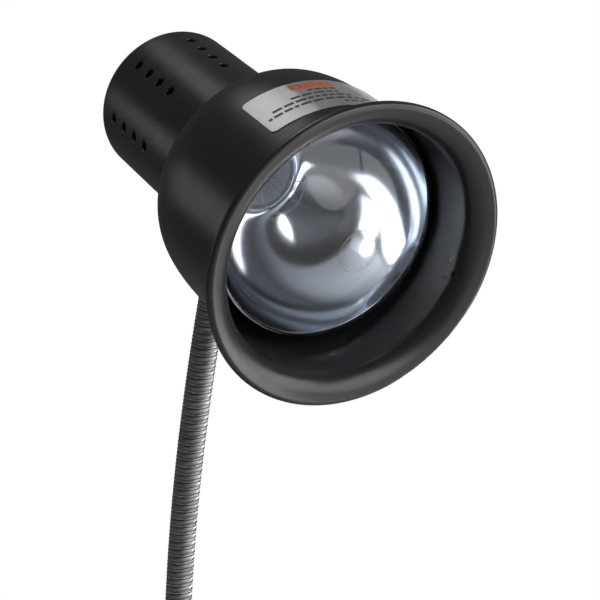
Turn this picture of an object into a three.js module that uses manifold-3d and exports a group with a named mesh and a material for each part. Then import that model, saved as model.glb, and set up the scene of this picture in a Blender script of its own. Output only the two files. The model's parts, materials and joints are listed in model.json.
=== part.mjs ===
// A single-bulb food-warming heat lamp: a weighted round base with a rocker switch, a steel gooseneck,
// and a tilted head whose vented socket housing and flared bell shade hold a silvered R40 bulb.
// Millimetres. Origin: centre of the underside of the base pad. +Z up, +X the way the head faces.
import * as THREE from "three";
import { mergeVertices } from "three/addons/utils/BufferGeometryUtils.js";
import Module from "manifold-3d";

const wasm = await Module();
wasm.setup();

// ---------------------------------------------------------------- driving dimensions
const GAP = 0.3; // left between pieces that touch
const rad = THREE.MathUtils.degToRad;

// Base
const BASE_RADIUS = 114.3;
const BASE_TOP = 30;
const BASE_FLAT_RADIUS = 80; // the level part of the top
const BASE_SIDE_TOP = 18; // where the upright side ends and the shoulder starts
const BASE_SHEET = 1.5;
const PAD_RADIUS = 108;
const PAD_HEIGHT = 2;
const PLATE_RADIUS = 111.5;
const WEIGHT_RADIUS = 92;
const WEIGHT_HEIGHT = 10;
const BOSS_REACH = 53.7; // the four screws sit at plus and minus this in X and Y
const NECK_X = -50; // where the neck stands on the base
const SWITCH_X = 60;
const GLAND_Z = 11.5;

// Rocker switch
const SWITCH_LENGTH = 26.4;
const SWITCH_WIDTH = 12.4;
const ROCKER_LENGTH = 22;
const ROCKER_WIDTH = 9.4;
const ROCKER_TILT = rad(12); // to either side of level; it rests in the off position
const ROCKER_PIVOT_Z = 29.8;

// Gooseneck
const NECK_RADIUS = 8.4;
const NECK_BORE = 4;
const NECK_STRAIGHT = 145; // upright length above the base's top
const NECK_BEND = 300; // the length above that, which leans forward
const NECK_SEGMENTS = 8;
const NECK_FOOT_Z = 40.4; // lower end of the neck, inside its ferrule
const NECK_TOP_DEPTH = 8.6; // upper end of the neck, this far below the housing's skin
const BALL_RADIUS = 7.1;
const CUP_RADIUS = 7.5;
const JOINT_STEP = 1.6; // each segment's skin stops this far from the bend centre
const FERRULE_RADIUS = 11;
const FERRULE_BORE = 9.2;
const STEM_RADIUS = 5;
const STEM_BORE = 3.3;
const STEM_HOLE = 5.3;

// Head: t runs along its axis from the rim plane (t = 0), negative to the rear
const HEAD_DIP = rad(21.7); // the head faces this far below level, and the neck's end leans as much
const RIM_RADIUS = 85;
const BELL_RADIUS = 71.2;
const SHADE_SHEET = 1.1;
const SHADE_BACK_T = -103;
const SHADE_HOLE = 38.5;
const SHOULDER_T = -65; // where the bell starts to round in towards its back
const SHOULDER_INSET = 6.5;
const LIP_BEND = 11.5; // outer radius of the bend that turns the wall out into the lip
const LIP_ANGLE = rad(72);
const BEAD_RADIUS = 2.4; // the rim is rolled over to this radius
const HOUSING_RADIUS = 45.8;
const HOUSING_SHEET = 1.2;
const HOUSING_REAR_T = -228.7;
const HOUSING_EDGE = 2.5;
const ATTACH_T = -138; // where the neck meets the housing
const VENT_COLUMNS = 8;
const VENT_ROWS = 4;
const VENT_RADIUS = 3;
const VENT_PITCH = 14.6;
const VENT_FIRST_T = -210.6;
const VENT_TURN = rad(5);
const SHADE_SCREW_RADIUS = 41.5; // pitch circle of the three screws that join shade and housing
const LABEL_START = rad(136);
const LABEL_END = rad(218.5);
const LABEL_T = [-69.5, -33];

// Lampholder
const SOCKET_RADIUS = 21;
const SOCKET_FRONT_T = -150;
const SOCKET_REAR_T = -197;
const SOCKET_FLOOR_T = -180;
const BRACKET_SHEET = 1.5;
const BRACKET_WIDTH = 18;
const BRACKET_HALF = 28;
const BRACKET_FOOT = 40;
const REAR_SCREW_Y = 34;

// Bulb, measured back from the top of its face
const BULB_APEX_T = -12;
const BULB_RADIUS = 63.5;
const BULB_LENGTH = 165;
const BULB_SEAM = 27; // where the clear face meets the silvered reflector
const BULB_NECK_RADIUS = 19;
const BULB_NECK = 118;
const BOWL_DEPTH = 74; // from the seam to where the bowl would close if it had no neck
const BOWL_SIDE_POWER = 2.2; // how full the bowl's side is
const BOWL_FLOOR_POWER = 1.3; // how full its floor is
const NECK_BLEND_POWER = 6; // how sharply the bowl turns into the neck
const BULB_GLASS = 1;
const FACE_CURVE = 95; // radius of the face's dome
const FACE_EDGE = 52; // the dome's own radius, where the rounded edge starts
const BASE_SHELL = [139.5, 159.5];
const BULB_PIVOT_T = -165; // centre of the screw shell, about which the bulb sits slightly askew
const BULB_ASKEW = rad(1.35);
const BULB_ASKEW_TOWARDS = rad(142);

// ---------------------------------------------------------------- materials
const finish = (color, roughness, metalness) =>
  new THREE.MeshStandardMaterial({ color, roughness, metalness });
const blackCoat = finish(0x262628, 0.5, 0.2);
const neckSteel = finish(0x3a3a3d, 0.4, 0.8);
const plainSteel = finish(0x9a9b9d, 0.35, 0.9);
const castIron = finish(0x3d3d3e, 0.8, 0.5);
const brass = finish(0xb08d4a, 0.35, 0.9);
const blackPlastic = finish(0x141415, 0.45, 0);
const rubber = finish(0x1c1c1c, 0.9, 0);
const porcelain = finish(0xe8e6df, 0.25, 0);
const silvering = finish(0xb9c4d0, 0.08, 1);
const clearGlass = finish(0xdfe8ee, 0.05, 0);
const foil = finish(0xc4c6c8, 0.4, 0.7);
const tungsten = finish(0x77787a, 0.4, 0.9);
const blackWire = finish(0x1a1a1b, 0.6, 0);
const whiteWire = finish(0xd9d7d0, 0.6, 0);
const greenWire = finish(0x2d7a3c, 0.6, 0);

// ---------------------------------------------------------------- geometry helpers
// A solid of revolution about Z from [radius, z] points. A profile that is off the axis closes on itself.
function turned(points, sides = 24) {
  const profile = points.map(([r, z]) => new THREE.Vector2(r, z));
  let area = 0;
  for (let i = 0; i < profile.length; i++) area += profile[i].cross(profile[(i + 1) % profile.length]);
  if (area < 0) profile.reverse();
  if (profile.some((p) => p.x > 0) && profile[0].x > 0) profile.push(profile[0].clone());
  return new THREE.LatheGeometry(profile, sides).rotateX(Math.PI / 2);
}

// Points of an arc in a profile, from one angle to another about a centre.
function arc([r, z], [radiusR, radiusZ], from, to, steps) {
  return Array.from({ length: steps + 1 }, (_, i) => {
    const a = from + ((to - from) * i) / steps;
    return [r + radiusR * Math.cos(a), z + radiusZ * Math.sin(a)];
  });
}

// A ring between two radii and two heights.
function ring(inner, outer, low, high, sides = 24) {
  return turned([[inner, low], [outer, low], [outer, high], [inner, high]], sides);
}

// A disc or rod on the Z axis.
function rod(radius, low, high, sides = 16) {
  return turned([[0, low], [radius, low], [radius, high], [0, high]], sides);
}

function box(sizeX, sizeY, low, high) {
  return new THREE.BoxGeometry(sizeX, sizeY, high - low).translate(0, 0, (low + high) / 2);
}

// A rectangle with round corners, extruded from one height to another.
function slab(sizeX, sizeY, corner, low, high) {
  const [x, y] = [sizeX / 2, sizeY / 2];
  const outline = new THREE.Shape();
  outline.absarc(x - corner, y - corner, corner, 0, Math.PI / 2);
  outline.absarc(corner - x, y - corner, corner, Math.PI / 2, Math.PI);
  outline.absarc(corner - x, corner - y, corner, Math.PI, 1.5 * Math.PI);
  outline.absarc(x - corner, corner - y, corner, 1.5 * Math.PI, 2 * Math.PI);
  return extruded(outline, low, high, 4);
}

function extruded(shape, low, high, curveSegments = 6) {
  return new THREE.ExtrudeGeometry(shape, { depth: high - low, bevelEnabled: false, curveSegments })
    .translate(0, 0, low);
}

function polygon(points) {
  return new THREE.Shape(points.map(([x, y]) => new THREE.Vector2(x, y)));
}

// Corners of a regular polygon.
function corners(count, radius) {
  return Array.from({ length: count }, (_, i) => [
    radius * Math.cos((i * 2 * Math.PI) / count),
    radius * Math.sin((i * 2 * Math.PI) / count),
  ]);
}

// A hexagonal nut on the Z axis, with its plain bore.
function hexNut(acrossCorners, bore, low, high) {
  const outline = polygon(corners(6, acrossCorners / 2));
  const hole = new THREE.Path();
  hole.absarc(0, 0, bore, 0, 2 * Math.PI, true);
  outline.holes.push(hole);
  return extruded(outline, low, high);
}

// A pan-head screw on the Z axis: the head sits above z = 0 and the shank hangs below it.
function panScrew(headRadius, headHeight, shankRadius, length) {
  return turned([
    [0, headHeight],
    [headRadius * 0.7, headHeight],
    [headRadius, 0],
    [shankRadius, 0],
    [shankRadius, -length],
    [0, -length],
  ], 8);
}

// A round wire along a smooth curve through the points, six-sided.
function wire(points, radius, steps) {
  const section = polygon(corners(6, radius));
  const path = new THREE.CatmullRomCurve3(points.map((p) => new THREE.Vector3(...p)));
  return new THREE.ExtrudeGeometry(section, {
    extrudePath: path, steps, bevelEnabled: false,
  });
}

function solid(geometry) {
  const plain = geometry.clone();
  plain.deleteAttribute("normal");
  plain.deleteAttribute("uv");
  const merged = mergeVertices(plain, 1e-4);
  return new wasm.Manifold(new wasm.Mesh({
    numProp: 3,
    vertProperties: new Float32Array(merged.attributes.position.array),
    triVerts: new Uint32Array(merged.index.array),
  }));
}

function geometryOf(manifold) {
  const { vertProperties, triVerts } = manifold.getMesh();
  const geometry = new THREE.BufferGeometry();
  geometry.setAttribute("position", new THREE.BufferAttribute(vertProperties, 3));
  geometry.setIndex(new THREE.BufferAttribute(triVerts, 1));
  const faceted = geometry.toNonIndexed();
  faceted.computeVertexNormals();
  return faceted;
}

function cut(geometry, ...tools) {
  return geometryOf(tools.reduce((body, tool) => body.subtract(solid(tool)), solid(geometry)));
}

function joined(geometry, ...others) {
  return geometryOf(others.reduce((body, other) => body.add(solid(other)), solid(geometry)));
}

function piece(parent, name, geometry, material) {
  const mesh = new THREE.Mesh(geometry, material);
  mesh.name = name;
  parent.add(mesh);
  return mesh;
}

const lamp = new THREE.Group();

// ---------------------------------------------------------------- base
const PLATE_LOW = PAD_HEIGHT + GAP;
const PLATE_HIGH = PLATE_LOW + BASE_SHEET;
const WEIGHT_LOW = PLATE_HIGH + GAP;
const WEIGHT_HIGH = WEIGHT_LOW + WEIGHT_HEIGHT;
const CEILING = BASE_TOP - BASE_SHEET;
const SCREW_SHANK = 1.5;
const SCREW_HOLE = SCREW_SHANK + GAP;
const screwSpots = [[1, 1], [-1, 1], [-1, -1], [1, -1]].map(([x, y]) => [x * BOSS_REACH, y * BOSS_REACH]);

function atScrews(radius, low, high) {
  return screwSpots.map(([x, y]) => rod(radius, low, high, 8).translate(x, y, 0));
}

// Top cover: an inverted pan with an upright side, a rounded shoulder and a level top.
function baseShell() {
  const run = BASE_RADIUS - BASE_FLAT_RADIUS;
  const rise = BASE_TOP - BASE_SIDE_TOP;
  const centre = [BASE_FLAT_RADIUS, BASE_SIDE_TOP];
  const outside = arc(centre, [run, rise], 0, Math.PI / 2, 4);
  const inside = arc(centre, [run - BASE_SHEET, rise - BASE_SHEET], Math.PI / 2, 0, 4);
  const pan = turned([
    [BASE_RADIUS, PLATE_LOW],
    ...outside,
    [0, BASE_TOP],
    [0, CEILING],
    ...inside,
    [BASE_RADIUS - BASE_SHEET, PLATE_LOW],
  ], 36);
  const bosses = atScrews(4.5, WEIGHT_HIGH + GAP, CEILING + BASE_SHEET / 2);
  return cut(
    joined(pan, ...bosses),
    ...atScrews(SCREW_HOLE, WEIGHT_HIGH - 1, CEILING - 2),
    rod(STEM_HOLE, CEILING - 1, BASE_TOP + 1).translate(NECK_X, 0, 0),
    box(SWITCH_LENGTH + 2 * GAP, SWITCH_WIDTH + 2 * GAP, CEILING - 1, BASE_TOP + 1).translate(SWITCH_X, 0, 0),
    rod(5.1, -5, 5, 16).rotateY(Math.PI / 2).translate(-BASE_RADIUS, 0, GLAND_Z),
  );
}

function addBase() {
  piece(lamp, "base_pad", cut(rod(PAD_RADIUS, 0, PAD_HEIGHT, 32), ...atScrews(4.8, -1, 3)), rubber);
  const plate = rod(PLATE_RADIUS, PLATE_LOW, PLATE_HIGH, 32);
  piece(lamp, "bottom_plate", cut(plate, ...atScrews(SCREW_HOLE, 1, 5)), plainSteel);
  const pocket = box(46, 24, WEIGHT_LOW - 1, WEIGHT_HIGH + 1).translate(SWITCH_X, 0, 0);
  const slug = rod(WEIGHT_RADIUS, WEIGHT_LOW, WEIGHT_HIGH, 32);
  piece(lamp, "base_weight", cut(slug, pocket, ...atScrews(SCREW_HOLE, 1, 20)), castIron);
  piece(lamp, "base_shell", baseShell(), blackCoat);
  screwSpots.forEach(([x, y], i) => {
    const screw = panScrew(4, 1.6, SCREW_SHANK, 22).rotateX(Math.PI);
    piece(lamp, `base_screw_${i + 1}`, screw, plainSteel).position.set(x, y, PLATE_LOW - GAP);
  });
}

// ---------------------------------------------------------------- cord gland and leads in the base
const LEAD_RADIUS = 1.3;
const LEAD_CIRCLE = 1.75; // the three leads lie in a triangle of this radius inside the gland
const EYELET_SHEET = 0.8;
const EARTH_HOLE = 2;

function addGland() {
  const bushing = turned([
    [3.6, -9],
    [6.2, -9],
    [7.4, -7.6],
    [8, -2],
    [8, 0],
    [4.8, 0],
    [4.8, 11],
    [3.6, 11],
  ], 20).rotateY(Math.PI / 2);
  piece(lamp, "cord_gland", bushing, blackPlastic).position.set(-BASE_RADIUS - GAP, 0, GLAND_Z);
  const nut = hexNut(13.6, 5.1, 0, 3.5).rotateY(Math.PI / 2);
  piece(lamp, "gland_nut", nut, blackPlastic).position.set(-BASE_RADIUS + BASE_SHEET + 0.6, 0, GLAND_Z);
}

// The three leads share the gland; the line lead goes to the switch, and the two that feed the bulb
// go up the neck's stem.
function addBaseLeads() {
  const mouthX = -BASE_RADIUS + 12;
  const inGland = (turn) => [
    LEAD_CIRCLE * Math.cos(rad(turn)),
    GLAND_Z + LEAD_CIRCLE * Math.sin(rad(turn)),
  ];
  const stemTop = CEILING - 1;
  const [lineY, lineZ] = inGland(330);
  const [neutralY, neutralZ] = inGland(90);
  const [earthY, earthZ] = inGland(210);
  const routes = {
    line_lead: [blackWire, [
      [mouthX - 8, lineY, lineZ], [mouthX, lineY, lineZ], [-90, 7, 18], [-50, 24, 20], [0, 20, 18],
      [34, 11, 17.5], [44, 9.8, 12.5], [53, 8.5, 9.4], [54, 4, 8.8],
    ]],
    switched_lead: [blackWire, [
      [66, -4, 8.8], [65, -8.5, 9.4], [52, -9.8, 12.5], [38, -12, 17.5], [0, -20, 18.5], [-40, -12, 17.5],
      [-50, -4.5, 16.5],
      [NECK_X, -1.6, 19], [NECK_X, -1.6, stemTop],
    ]],
    neutral_lead: [whiteWire, [
      [mouthX - 8, neutralY, neutralZ], [mouthX, neutralY, neutralZ], [-92, 0, 18], [-76, 4, 20],
      [-62, 8, 17.5], [-52, 5, 16.3], [NECK_X, 1.6, 19], [NECK_X, 1.6, stemTop],
    ]],
  };
  for (const [name, [colour, points]] of Object.entries(routes)) {
    piece(lamp, name, wire(points, LEAD_RADIUS, points.length * 2), colour);
  }
  addEarthLead([[mouthX - 8, earthY, earthZ], [mouthX, earthY, earthZ], [-94, -6, 15.6]]);
}

// The earth lead carries a crimped eyelet, clamped under the cover by its own screw.
function addEarthLead(start) {
  const [eyeX, eyeY] = [-62, -32];
  const eyeLow = CEILING - GAP - EYELET_SHEET;
  const eyelet = ring(EARTH_HOLE, 4.4, eyeLow, CEILING - GAP, 16).translate(eyeX, eyeY, 0);
  const lead = wire([
    ...start, [-86, -14, 18], [-77, -21, 24], [-70, -26.5, eyeLow + 0.4], [-65.5, -29.7, eyeLow + 0.4],
  ], LEAD_RADIUS - 0.4, 16);
  const slot = rod(EARTH_HOLE, eyeLow - 3, CEILING, 16).translate(eyeX, eyeY, 0);
  const flush = box(40, 40, CEILING - GAP, CEILING + 4).translate(eyeX, eyeY, 0);
  piece(lamp, "earth_lead", cut(joined(lead, eyelet), slot, flush), greenWire);
  const screw = panScrew(3.2, 1.8, EARTH_HOLE - GAP, EYELET_SHEET).rotateX(Math.PI);
  piece(lamp, "earth_screw", screw, plainSteel).position.set(eyeX, eyeY, eyeLow - GAP);
}

// ---------------------------------------------------------------- rocker switch
function addSwitch() {
  const floor = ROCKER_PIVOT_Z - 5;
  const well = box(ROCKER_LENGTH + 2, ROCKER_WIDTH + 1, floor, BASE_TOP + 5);
  const flangeLow = BASE_TOP + GAP;
  const block = joined(
    box(SWITCH_LENGTH, SWITCH_WIDTH, 14, flangeLow + 0.5),
    slab(SWITCH_LENGTH + 4, SWITCH_WIDTH + 3.6, 1.8, flangeLow, flangeLow + 1.5),
  );
  const pinHole = rod(1.3, -20, 20, 12).rotateX(Math.PI / 2).translate(0, 0, ROCKER_PIVOT_Z);
  const blades = [-6, 6].map((x) => box(0.8 + 2 * GAP, 6.3 + 2 * GAP, 10, 17).translate(x, 0, 0));
  piece(lamp, "switch_body", cut(block, well, pinHole, ...blades), blackPlastic).position.x = SWITCH_X;
  [-6, 6].forEach((x, i) => {
    piece(lamp, `switch_blade_${i + 1}`, box(0.8, 6.3, 6, 16.5), brass).position.x = SWITCH_X + x;
  });
  const pin = rod(1, -SWITCH_WIDTH / 2, SWITCH_WIDTH / 2, 12).rotateX(Math.PI / 2);
  piece(lamp, "rocker_pin", pin, plainSteel).position.set(SWITCH_X, 0, ROCKER_PIVOT_Z);

  const half = ROCKER_LENGTH / 2;
  const side = polygon([
    [-half, 3.2], [-half, 0.6], [-half + 1.8, -1.4], [0, -3.8], [half - 1.8, -1.4], [half, 0.6], [half, 3.2],
    [half * 0.5, 2.4], [0, 2.1], [-half * 0.5, 2.4],
  ]);
  const paddle = extruded(side, -ROCKER_WIDTH / 2, ROCKER_WIDTH / 2).rotateX(Math.PI / 2);
  const bore = rod(1.3, -10, 10, 12).rotateX(Math.PI / 2);
  const rocker = piece(lamp, "switch_rocker", cut(paddle, bore), blackPlastic);
  rocker.position.set(SWITCH_X, 0, ROCKER_PIVOT_Z);
  rocker.rotation.y = -ROCKER_TILT;
}

// ---------------------------------------------------------------- gooseneck
const NECK_LENGTH = NECK_STRAIGHT + NECK_BEND;

// Lean from upright, at a distance below the point where the neck meets the head.
function leanAt(below) {
  const x = Math.min(below / NECK_BEND, 1);
  return HEAD_DIP * (1 - x) * (1 + x / 2);
}

// Point of the neck's centreline at that distance, found by walking up from the base.
function neckPoint(below) {
  const steps = 400;
  const step = (NECK_LENGTH - below) / steps;
  const point = new THREE.Vector3(NECK_X, 0, BASE_TOP);
  for (let i = 0; i < steps; i++) {
    const lean = leanAt(NECK_LENGTH - (i + 0.5) * step);
    point.x += step * Math.sin(lean);
    point.z += step * Math.cos(lean);
  }
  return point;
}

// One segment from z = 0 to its length: a cup at its lower bend centre and a ball at its upper one,
// unless that end is the plain one held in a ferrule.
function neckSegment(length, hasCup, hasBall) {
  const cupFrom = Math.asin(JOINT_STEP / CUP_RADIUS);
  const cupTo = Math.acos(NECK_BORE / CUP_RADIUS);
  const ballFrom = -Math.asin(JOINT_STEP / BALL_RADIUS);
  const ballTo = Math.acos(NECK_BORE / BALL_RADIUS);
  const foot = hasCup
    ? [...arc([0, 0], [CUP_RADIUS, CUP_RADIUS], cupTo, cupFrom, 3), [NECK_RADIUS, JOINT_STEP]]
    : [[NECK_BORE, 0], [NECK_RADIUS, 0]];
  const ball = arc([0, length], [BALL_RADIUS, BALL_RADIUS], ballFrom, ballTo, 3);
  const head = hasBall
    ? [[NECK_RADIUS, length - JOINT_STEP], ...ball]
    : [[NECK_RADIUS, length], [NECK_BORE, length]];
  return turned([...foot, ...head], 12);
}

function addNeck() {
  const footBelow = NECK_LENGTH - (NECK_FOOT_Z - BASE_TOP);
  const ends = Array.from({ length: NECK_SEGMENTS + 1 }, (_, i) =>
    neckPoint(footBelow + ((NECK_TOP_DEPTH - footBelow) * i) / NECK_SEGMENTS));
  for (let i = 0; i < NECK_SEGMENTS; i++) {
    const [low, high] = [ends[i], ends[i + 1]];
    const shape = neckSegment(low.distanceTo(high), i > 0, i < NECK_SEGMENTS - 1);
    const segment = piece(lamp, `neck_segment_${i + 1}`, shape, neckSteel);
    segment.position.copy(low);
    segment.rotation.y = Math.atan2(high.x - low.x, high.z - low.z);
  }
}

// A ferrule on the Z axis: a bored stem below z = 0 and a cup above it that holds the neck's end.
function ferrule(stemLength, cupFloor, cupTop) {
  return turned([
    [STEM_BORE, -stemLength],
    [STEM_RADIUS, -stemLength],
    [STEM_RADIUS, 0],
    [FERRULE_RADIUS, 0],
    [FERRULE_RADIUS, cupTop - 1.2],
    [FERRULE_RADIUS - 0.8, cupTop],
    [FERRULE_BORE, cupTop],
    [FERRULE_BORE, cupFloor],
    [STEM_BORE, cupFloor],
  ], 20);
}

function addNeckFoot() {
  const height = 4;
  const collar = turned([
    [STEM_HOLE, 0],
    [20, 0],
    [20, 1.4],
    [17.4, height],
    [STEM_HOLE, height],
  ], 32);
  piece(lamp, "neck_collar", collar, blackCoat).position.set(NECK_X, 0, BASE_TOP + GAP);
  const seat = BASE_TOP + height + 2 * GAP;
  const holder = ferrule(seat - 20, NECK_FOOT_Z - seat - GAP, NECK_FOOT_Z - seat + 18);
  piece(lamp, "lower_ferrule", holder, blackCoat).position.set(NECK_X, 0, seat);
  const nut = hexNut(18, STEM_HOLE, CEILING - GAP - 4, CEILING - GAP);
  piece(lamp, "lower_lock_nut", nut, plainSteel).position.x = NECK_X;
}

// ---------------------------------------------------------------- head
// In the head's group +Z is its axis, towards the rim, and +X is its underside, where the neck joins.
const attach = neckPoint(0);
const head = new THREE.Group();
head.rotation.y = Math.PI / 2 + HEAD_DIP;
head.position.set(
  attach.x + HOUSING_RADIUS * Math.sin(HEAD_DIP) - ATTACH_T * Math.cos(HEAD_DIP),
  0,
  attach.z + HOUSING_RADIUS * Math.cos(HEAD_DIP) + ATTACH_T * Math.sin(HEAD_DIP),
);
lamp.add(head);

const SHADE_SCREW_SHANK = 1.25;
const SHADE_SCREW_HOLE = SHADE_SCREW_SHANK + GAP;
const shadeScrewTurns = [60, 180, 300].map(rad);
const spun = (geometry, turn) => geometry.translate(SHADE_SCREW_RADIUS, 0, 0).rotateZ(turn);
const shadeScrewHoles = (low, high) =>
  shadeScrewTurns.map((turn) => spun(rod(SHADE_SCREW_HOLE, low, high, 10), turn));
const HOUSING_FRONT_T = SHADE_BACK_T - GAP;

// A drawn cup, closed at the rear, with rows of vents and an inward flange at its open front.
function housing() {
  const innerRadius = HOUSING_RADIUS - HOUSING_SHEET;
  const edgeOut = [HOUSING_RADIUS - HOUSING_EDGE, HOUSING_REAR_T + HOUSING_EDGE];
  const edgeIn = HOUSING_EDGE - HOUSING_SHEET;
  const cup = turned([
    [0, HOUSING_REAR_T],
    ...arc(edgeOut, [HOUSING_EDGE, HOUSING_EDGE], -Math.PI / 2, 0, 2),
    [HOUSING_RADIUS, HOUSING_FRONT_T],
    [SHADE_HOLE, HOUSING_FRONT_T],
    [SHADE_HOLE, HOUSING_FRONT_T - HOUSING_SHEET],
    [innerRadius, HOUSING_FRONT_T - HOUSING_SHEET],
    ...arc(edgeOut, [edgeIn, edgeIn], 0, -Math.PI / 2, 2),
    [0, HOUSING_REAR_T + HOUSING_SHEET],
  ], 24);
  const vents = [];
  for (let column = 0; column < VENT_COLUMNS; column++) {
    for (let row = 0; row < VENT_ROWS; row++) {
      vents.push(
        rod(VENT_RADIUS, HOUSING_RADIUS - 5, HOUSING_RADIUS + 5, 6)
          .rotateY(Math.PI / 2)
          .translate(0, 0, VENT_FIRST_T + row * VENT_PITCH)
          .rotateZ(VENT_TURN + (column * 2 * Math.PI) / VENT_COLUMNS),
      );
    }
  }
  const stemHole = rod(STEM_HOLE, HOUSING_RADIUS - 6, HOUSING_RADIUS + 6, 16)
    .rotateY(Math.PI / 2)
    .translate(0, 0, ATTACH_T);
  const rearHoles = [-REAR_SCREW_Y, REAR_SCREW_Y].map((y) =>
    rod(2, HOUSING_REAR_T - 2, HOUSING_REAR_T + 3, 12).translate(0, y, 0));
  const flangeHoles = shadeScrewHoles(HOUSING_FRONT_T - 3, HOUSING_FRONT_T + 1);
  return cut(cup, ...vents, stemHole, ...rearHoles, ...flangeHoles);
}

// A spun bell: flat back with a hole for the bulb's neck, rounded shoulder, straight wall, and a lip
// that turns out to a beaded rim.
function shade() {
  const shoulderCentre = [BELL_RADIUS - SHOULDER_INSET, SHOULDER_T];
  const depth = SHOULDER_T - SHADE_BACK_T;
  const innerInset = SHOULDER_INSET - SHADE_SHEET;
  const innerDepth = depth - SHADE_SHEET;
  const bendR = BELL_RADIUS + LIP_BEND;
  const innerBend = LIP_BEND + SHADE_SHEET;
  const bead = [RIM_RADIUS - BEAD_RADIUS, -BEAD_RADIUS];
  // The lip's front is tangent to the bend and to the bead.
  const drop = (bendR - bead[0]) * Math.cos(LIP_ANGLE) + BEAD_RADIUS - innerBend;
  const bendT = bead[1] + drop / Math.sin(LIP_ANGLE);
  const beadEnd = Math.PI - LIP_ANGLE;
  const beadStart = beadEnd + Math.acos(1 - SHADE_SHEET / BEAD_RADIUS) - 2 * Math.PI;
  return cut(
    turned([
      [SHADE_HOLE, SHADE_BACK_T],
      ...arc(shoulderCentre, [SHOULDER_INSET, depth], -Math.PI / 2, 0, 5),
      ...arc([bendR, bendT], [LIP_BEND, LIP_BEND], Math.PI, Math.PI - LIP_ANGLE, 3),
      ...arc(bead, [BEAD_RADIUS, BEAD_RADIUS], beadStart, beadEnd, 6),
      ...arc([bendR, bendT], [innerBend, innerBend], Math.PI - LIP_ANGLE, Math.PI, 3),
      ...arc(shoulderCentre, [innerInset, innerDepth], 0, -Math.PI / 2, 5),
      [SHADE_HOLE, SHADE_BACK_T + SHADE_SHEET],
    ], 32),
    ...shadeScrewHoles(SHADE_BACK_T - 1, SHADE_BACK_T + 3),
  );
}

function addShadeScrews() {
  shadeScrewTurns.forEach((turn, i) => {
    const screw = panScrew(2.5, 1.6, SHADE_SCREW_SHANK, 8).translate(0, 0, SHADE_BACK_T + SHADE_SHEET + GAP);
    piece(head, `shade_screw_${i + 1}`, spun(screw, turn), plainSteel);
  });
}

// A blank foil label that wraps round the top of the bell.
function label() {
  const inner = BELL_RADIUS + GAP;
  const sector = new THREE.Shape();
  sector.absarc(0, 0, inner + 0.3, LABEL_START, LABEL_END, false);
  sector.absarc(0, 0, inner, LABEL_END, LABEL_START, true);
  return extruded(sector, LABEL_T[0], LABEL_T[1], 10);
}

// The neck's upper end: a ferrule, a saddle that fits the round housing, and a lock nut.
function addNeckTop() {
  const seat = HOUSING_RADIUS + 3.5;
  const mouth = seat - HOUSING_RADIUS + 2 * GAP;
  const cupFloor = NECK_TOP_DEPTH - mouth - GAP;
  const holder = ferrule(13, cupFloor, cupFloor + 18).rotateY(Math.PI / 2);
  piece(head, "upper_ferrule", holder, blackCoat).position.set(seat + GAP, 0, ATTACH_T);
  const puck = ring(STEM_HOLE, 12, HOUSING_RADIUS - 4, seat).rotateY(Math.PI / 2).translate(0, 0, ATTACH_T);
  const skin = rod(HOUSING_RADIUS + GAP, ATTACH_T - 20, ATTACH_T + 20, 32);
  piece(head, "neck_saddle", cut(puck, skin), blackCoat);
  const inside = HOUSING_RADIUS - HOUSING_SHEET - 1.4;
  const nut = hexNut(16, STEM_HOLE, inside - 4, inside).rotateY(Math.PI / 2);
  piece(head, "upper_lock_nut", nut, plainSteel).position.z = ATTACH_T;
}

// ---------------------------------------------------------------- lampholder
const BRACKET_SEAT_T = SOCKET_REAR_T - GAP;
const SOCKET_SCREW_Y = 9;
const TERMINAL_T = SOCKET_REAR_T + 7;

// A strip bent into a hat: the holder sits on its crown and its feet are screwed to the rear wall.
function bracket() {
  const rear = HOUSING_REAR_T + HOUSING_SHEET + GAP;
  const [low, high] = [rear + BRACKET_SHEET, BRACKET_SEAT_T - BRACKET_SHEET];
  const half = [
    [BRACKET_HALF, BRACKET_SEAT_T],
    [BRACKET_HALF, low],
    [BRACKET_FOOT, low],
    [BRACKET_FOOT, rear],
    [BRACKET_HALF - BRACKET_SHEET, rear],
    [BRACKET_HALF - BRACKET_SHEET, high],
  ];
  const outline = polygon([...half, ...half.map(([y, t]) => [-y, t]).reverse()]);
  const strip = extruded(outline, -BRACKET_WIDTH / 2, BRACKET_WIDTH / 2)
    .rotateX(Math.PI / 2)
    .rotateZ(Math.PI / 2);
  const holes = [-1, 1].flatMap((side) => [
    rod(1.9, rear - 1, low + 1, 10).translate(0, side * REAR_SCREW_Y, 0),
    rod(1.8, high - 1, BRACKET_SEAT_T + 1, 10).translate(0, side * SOCKET_SCREW_Y, 0),
  ]);
  return cut(strip, ...holes);
}

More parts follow.
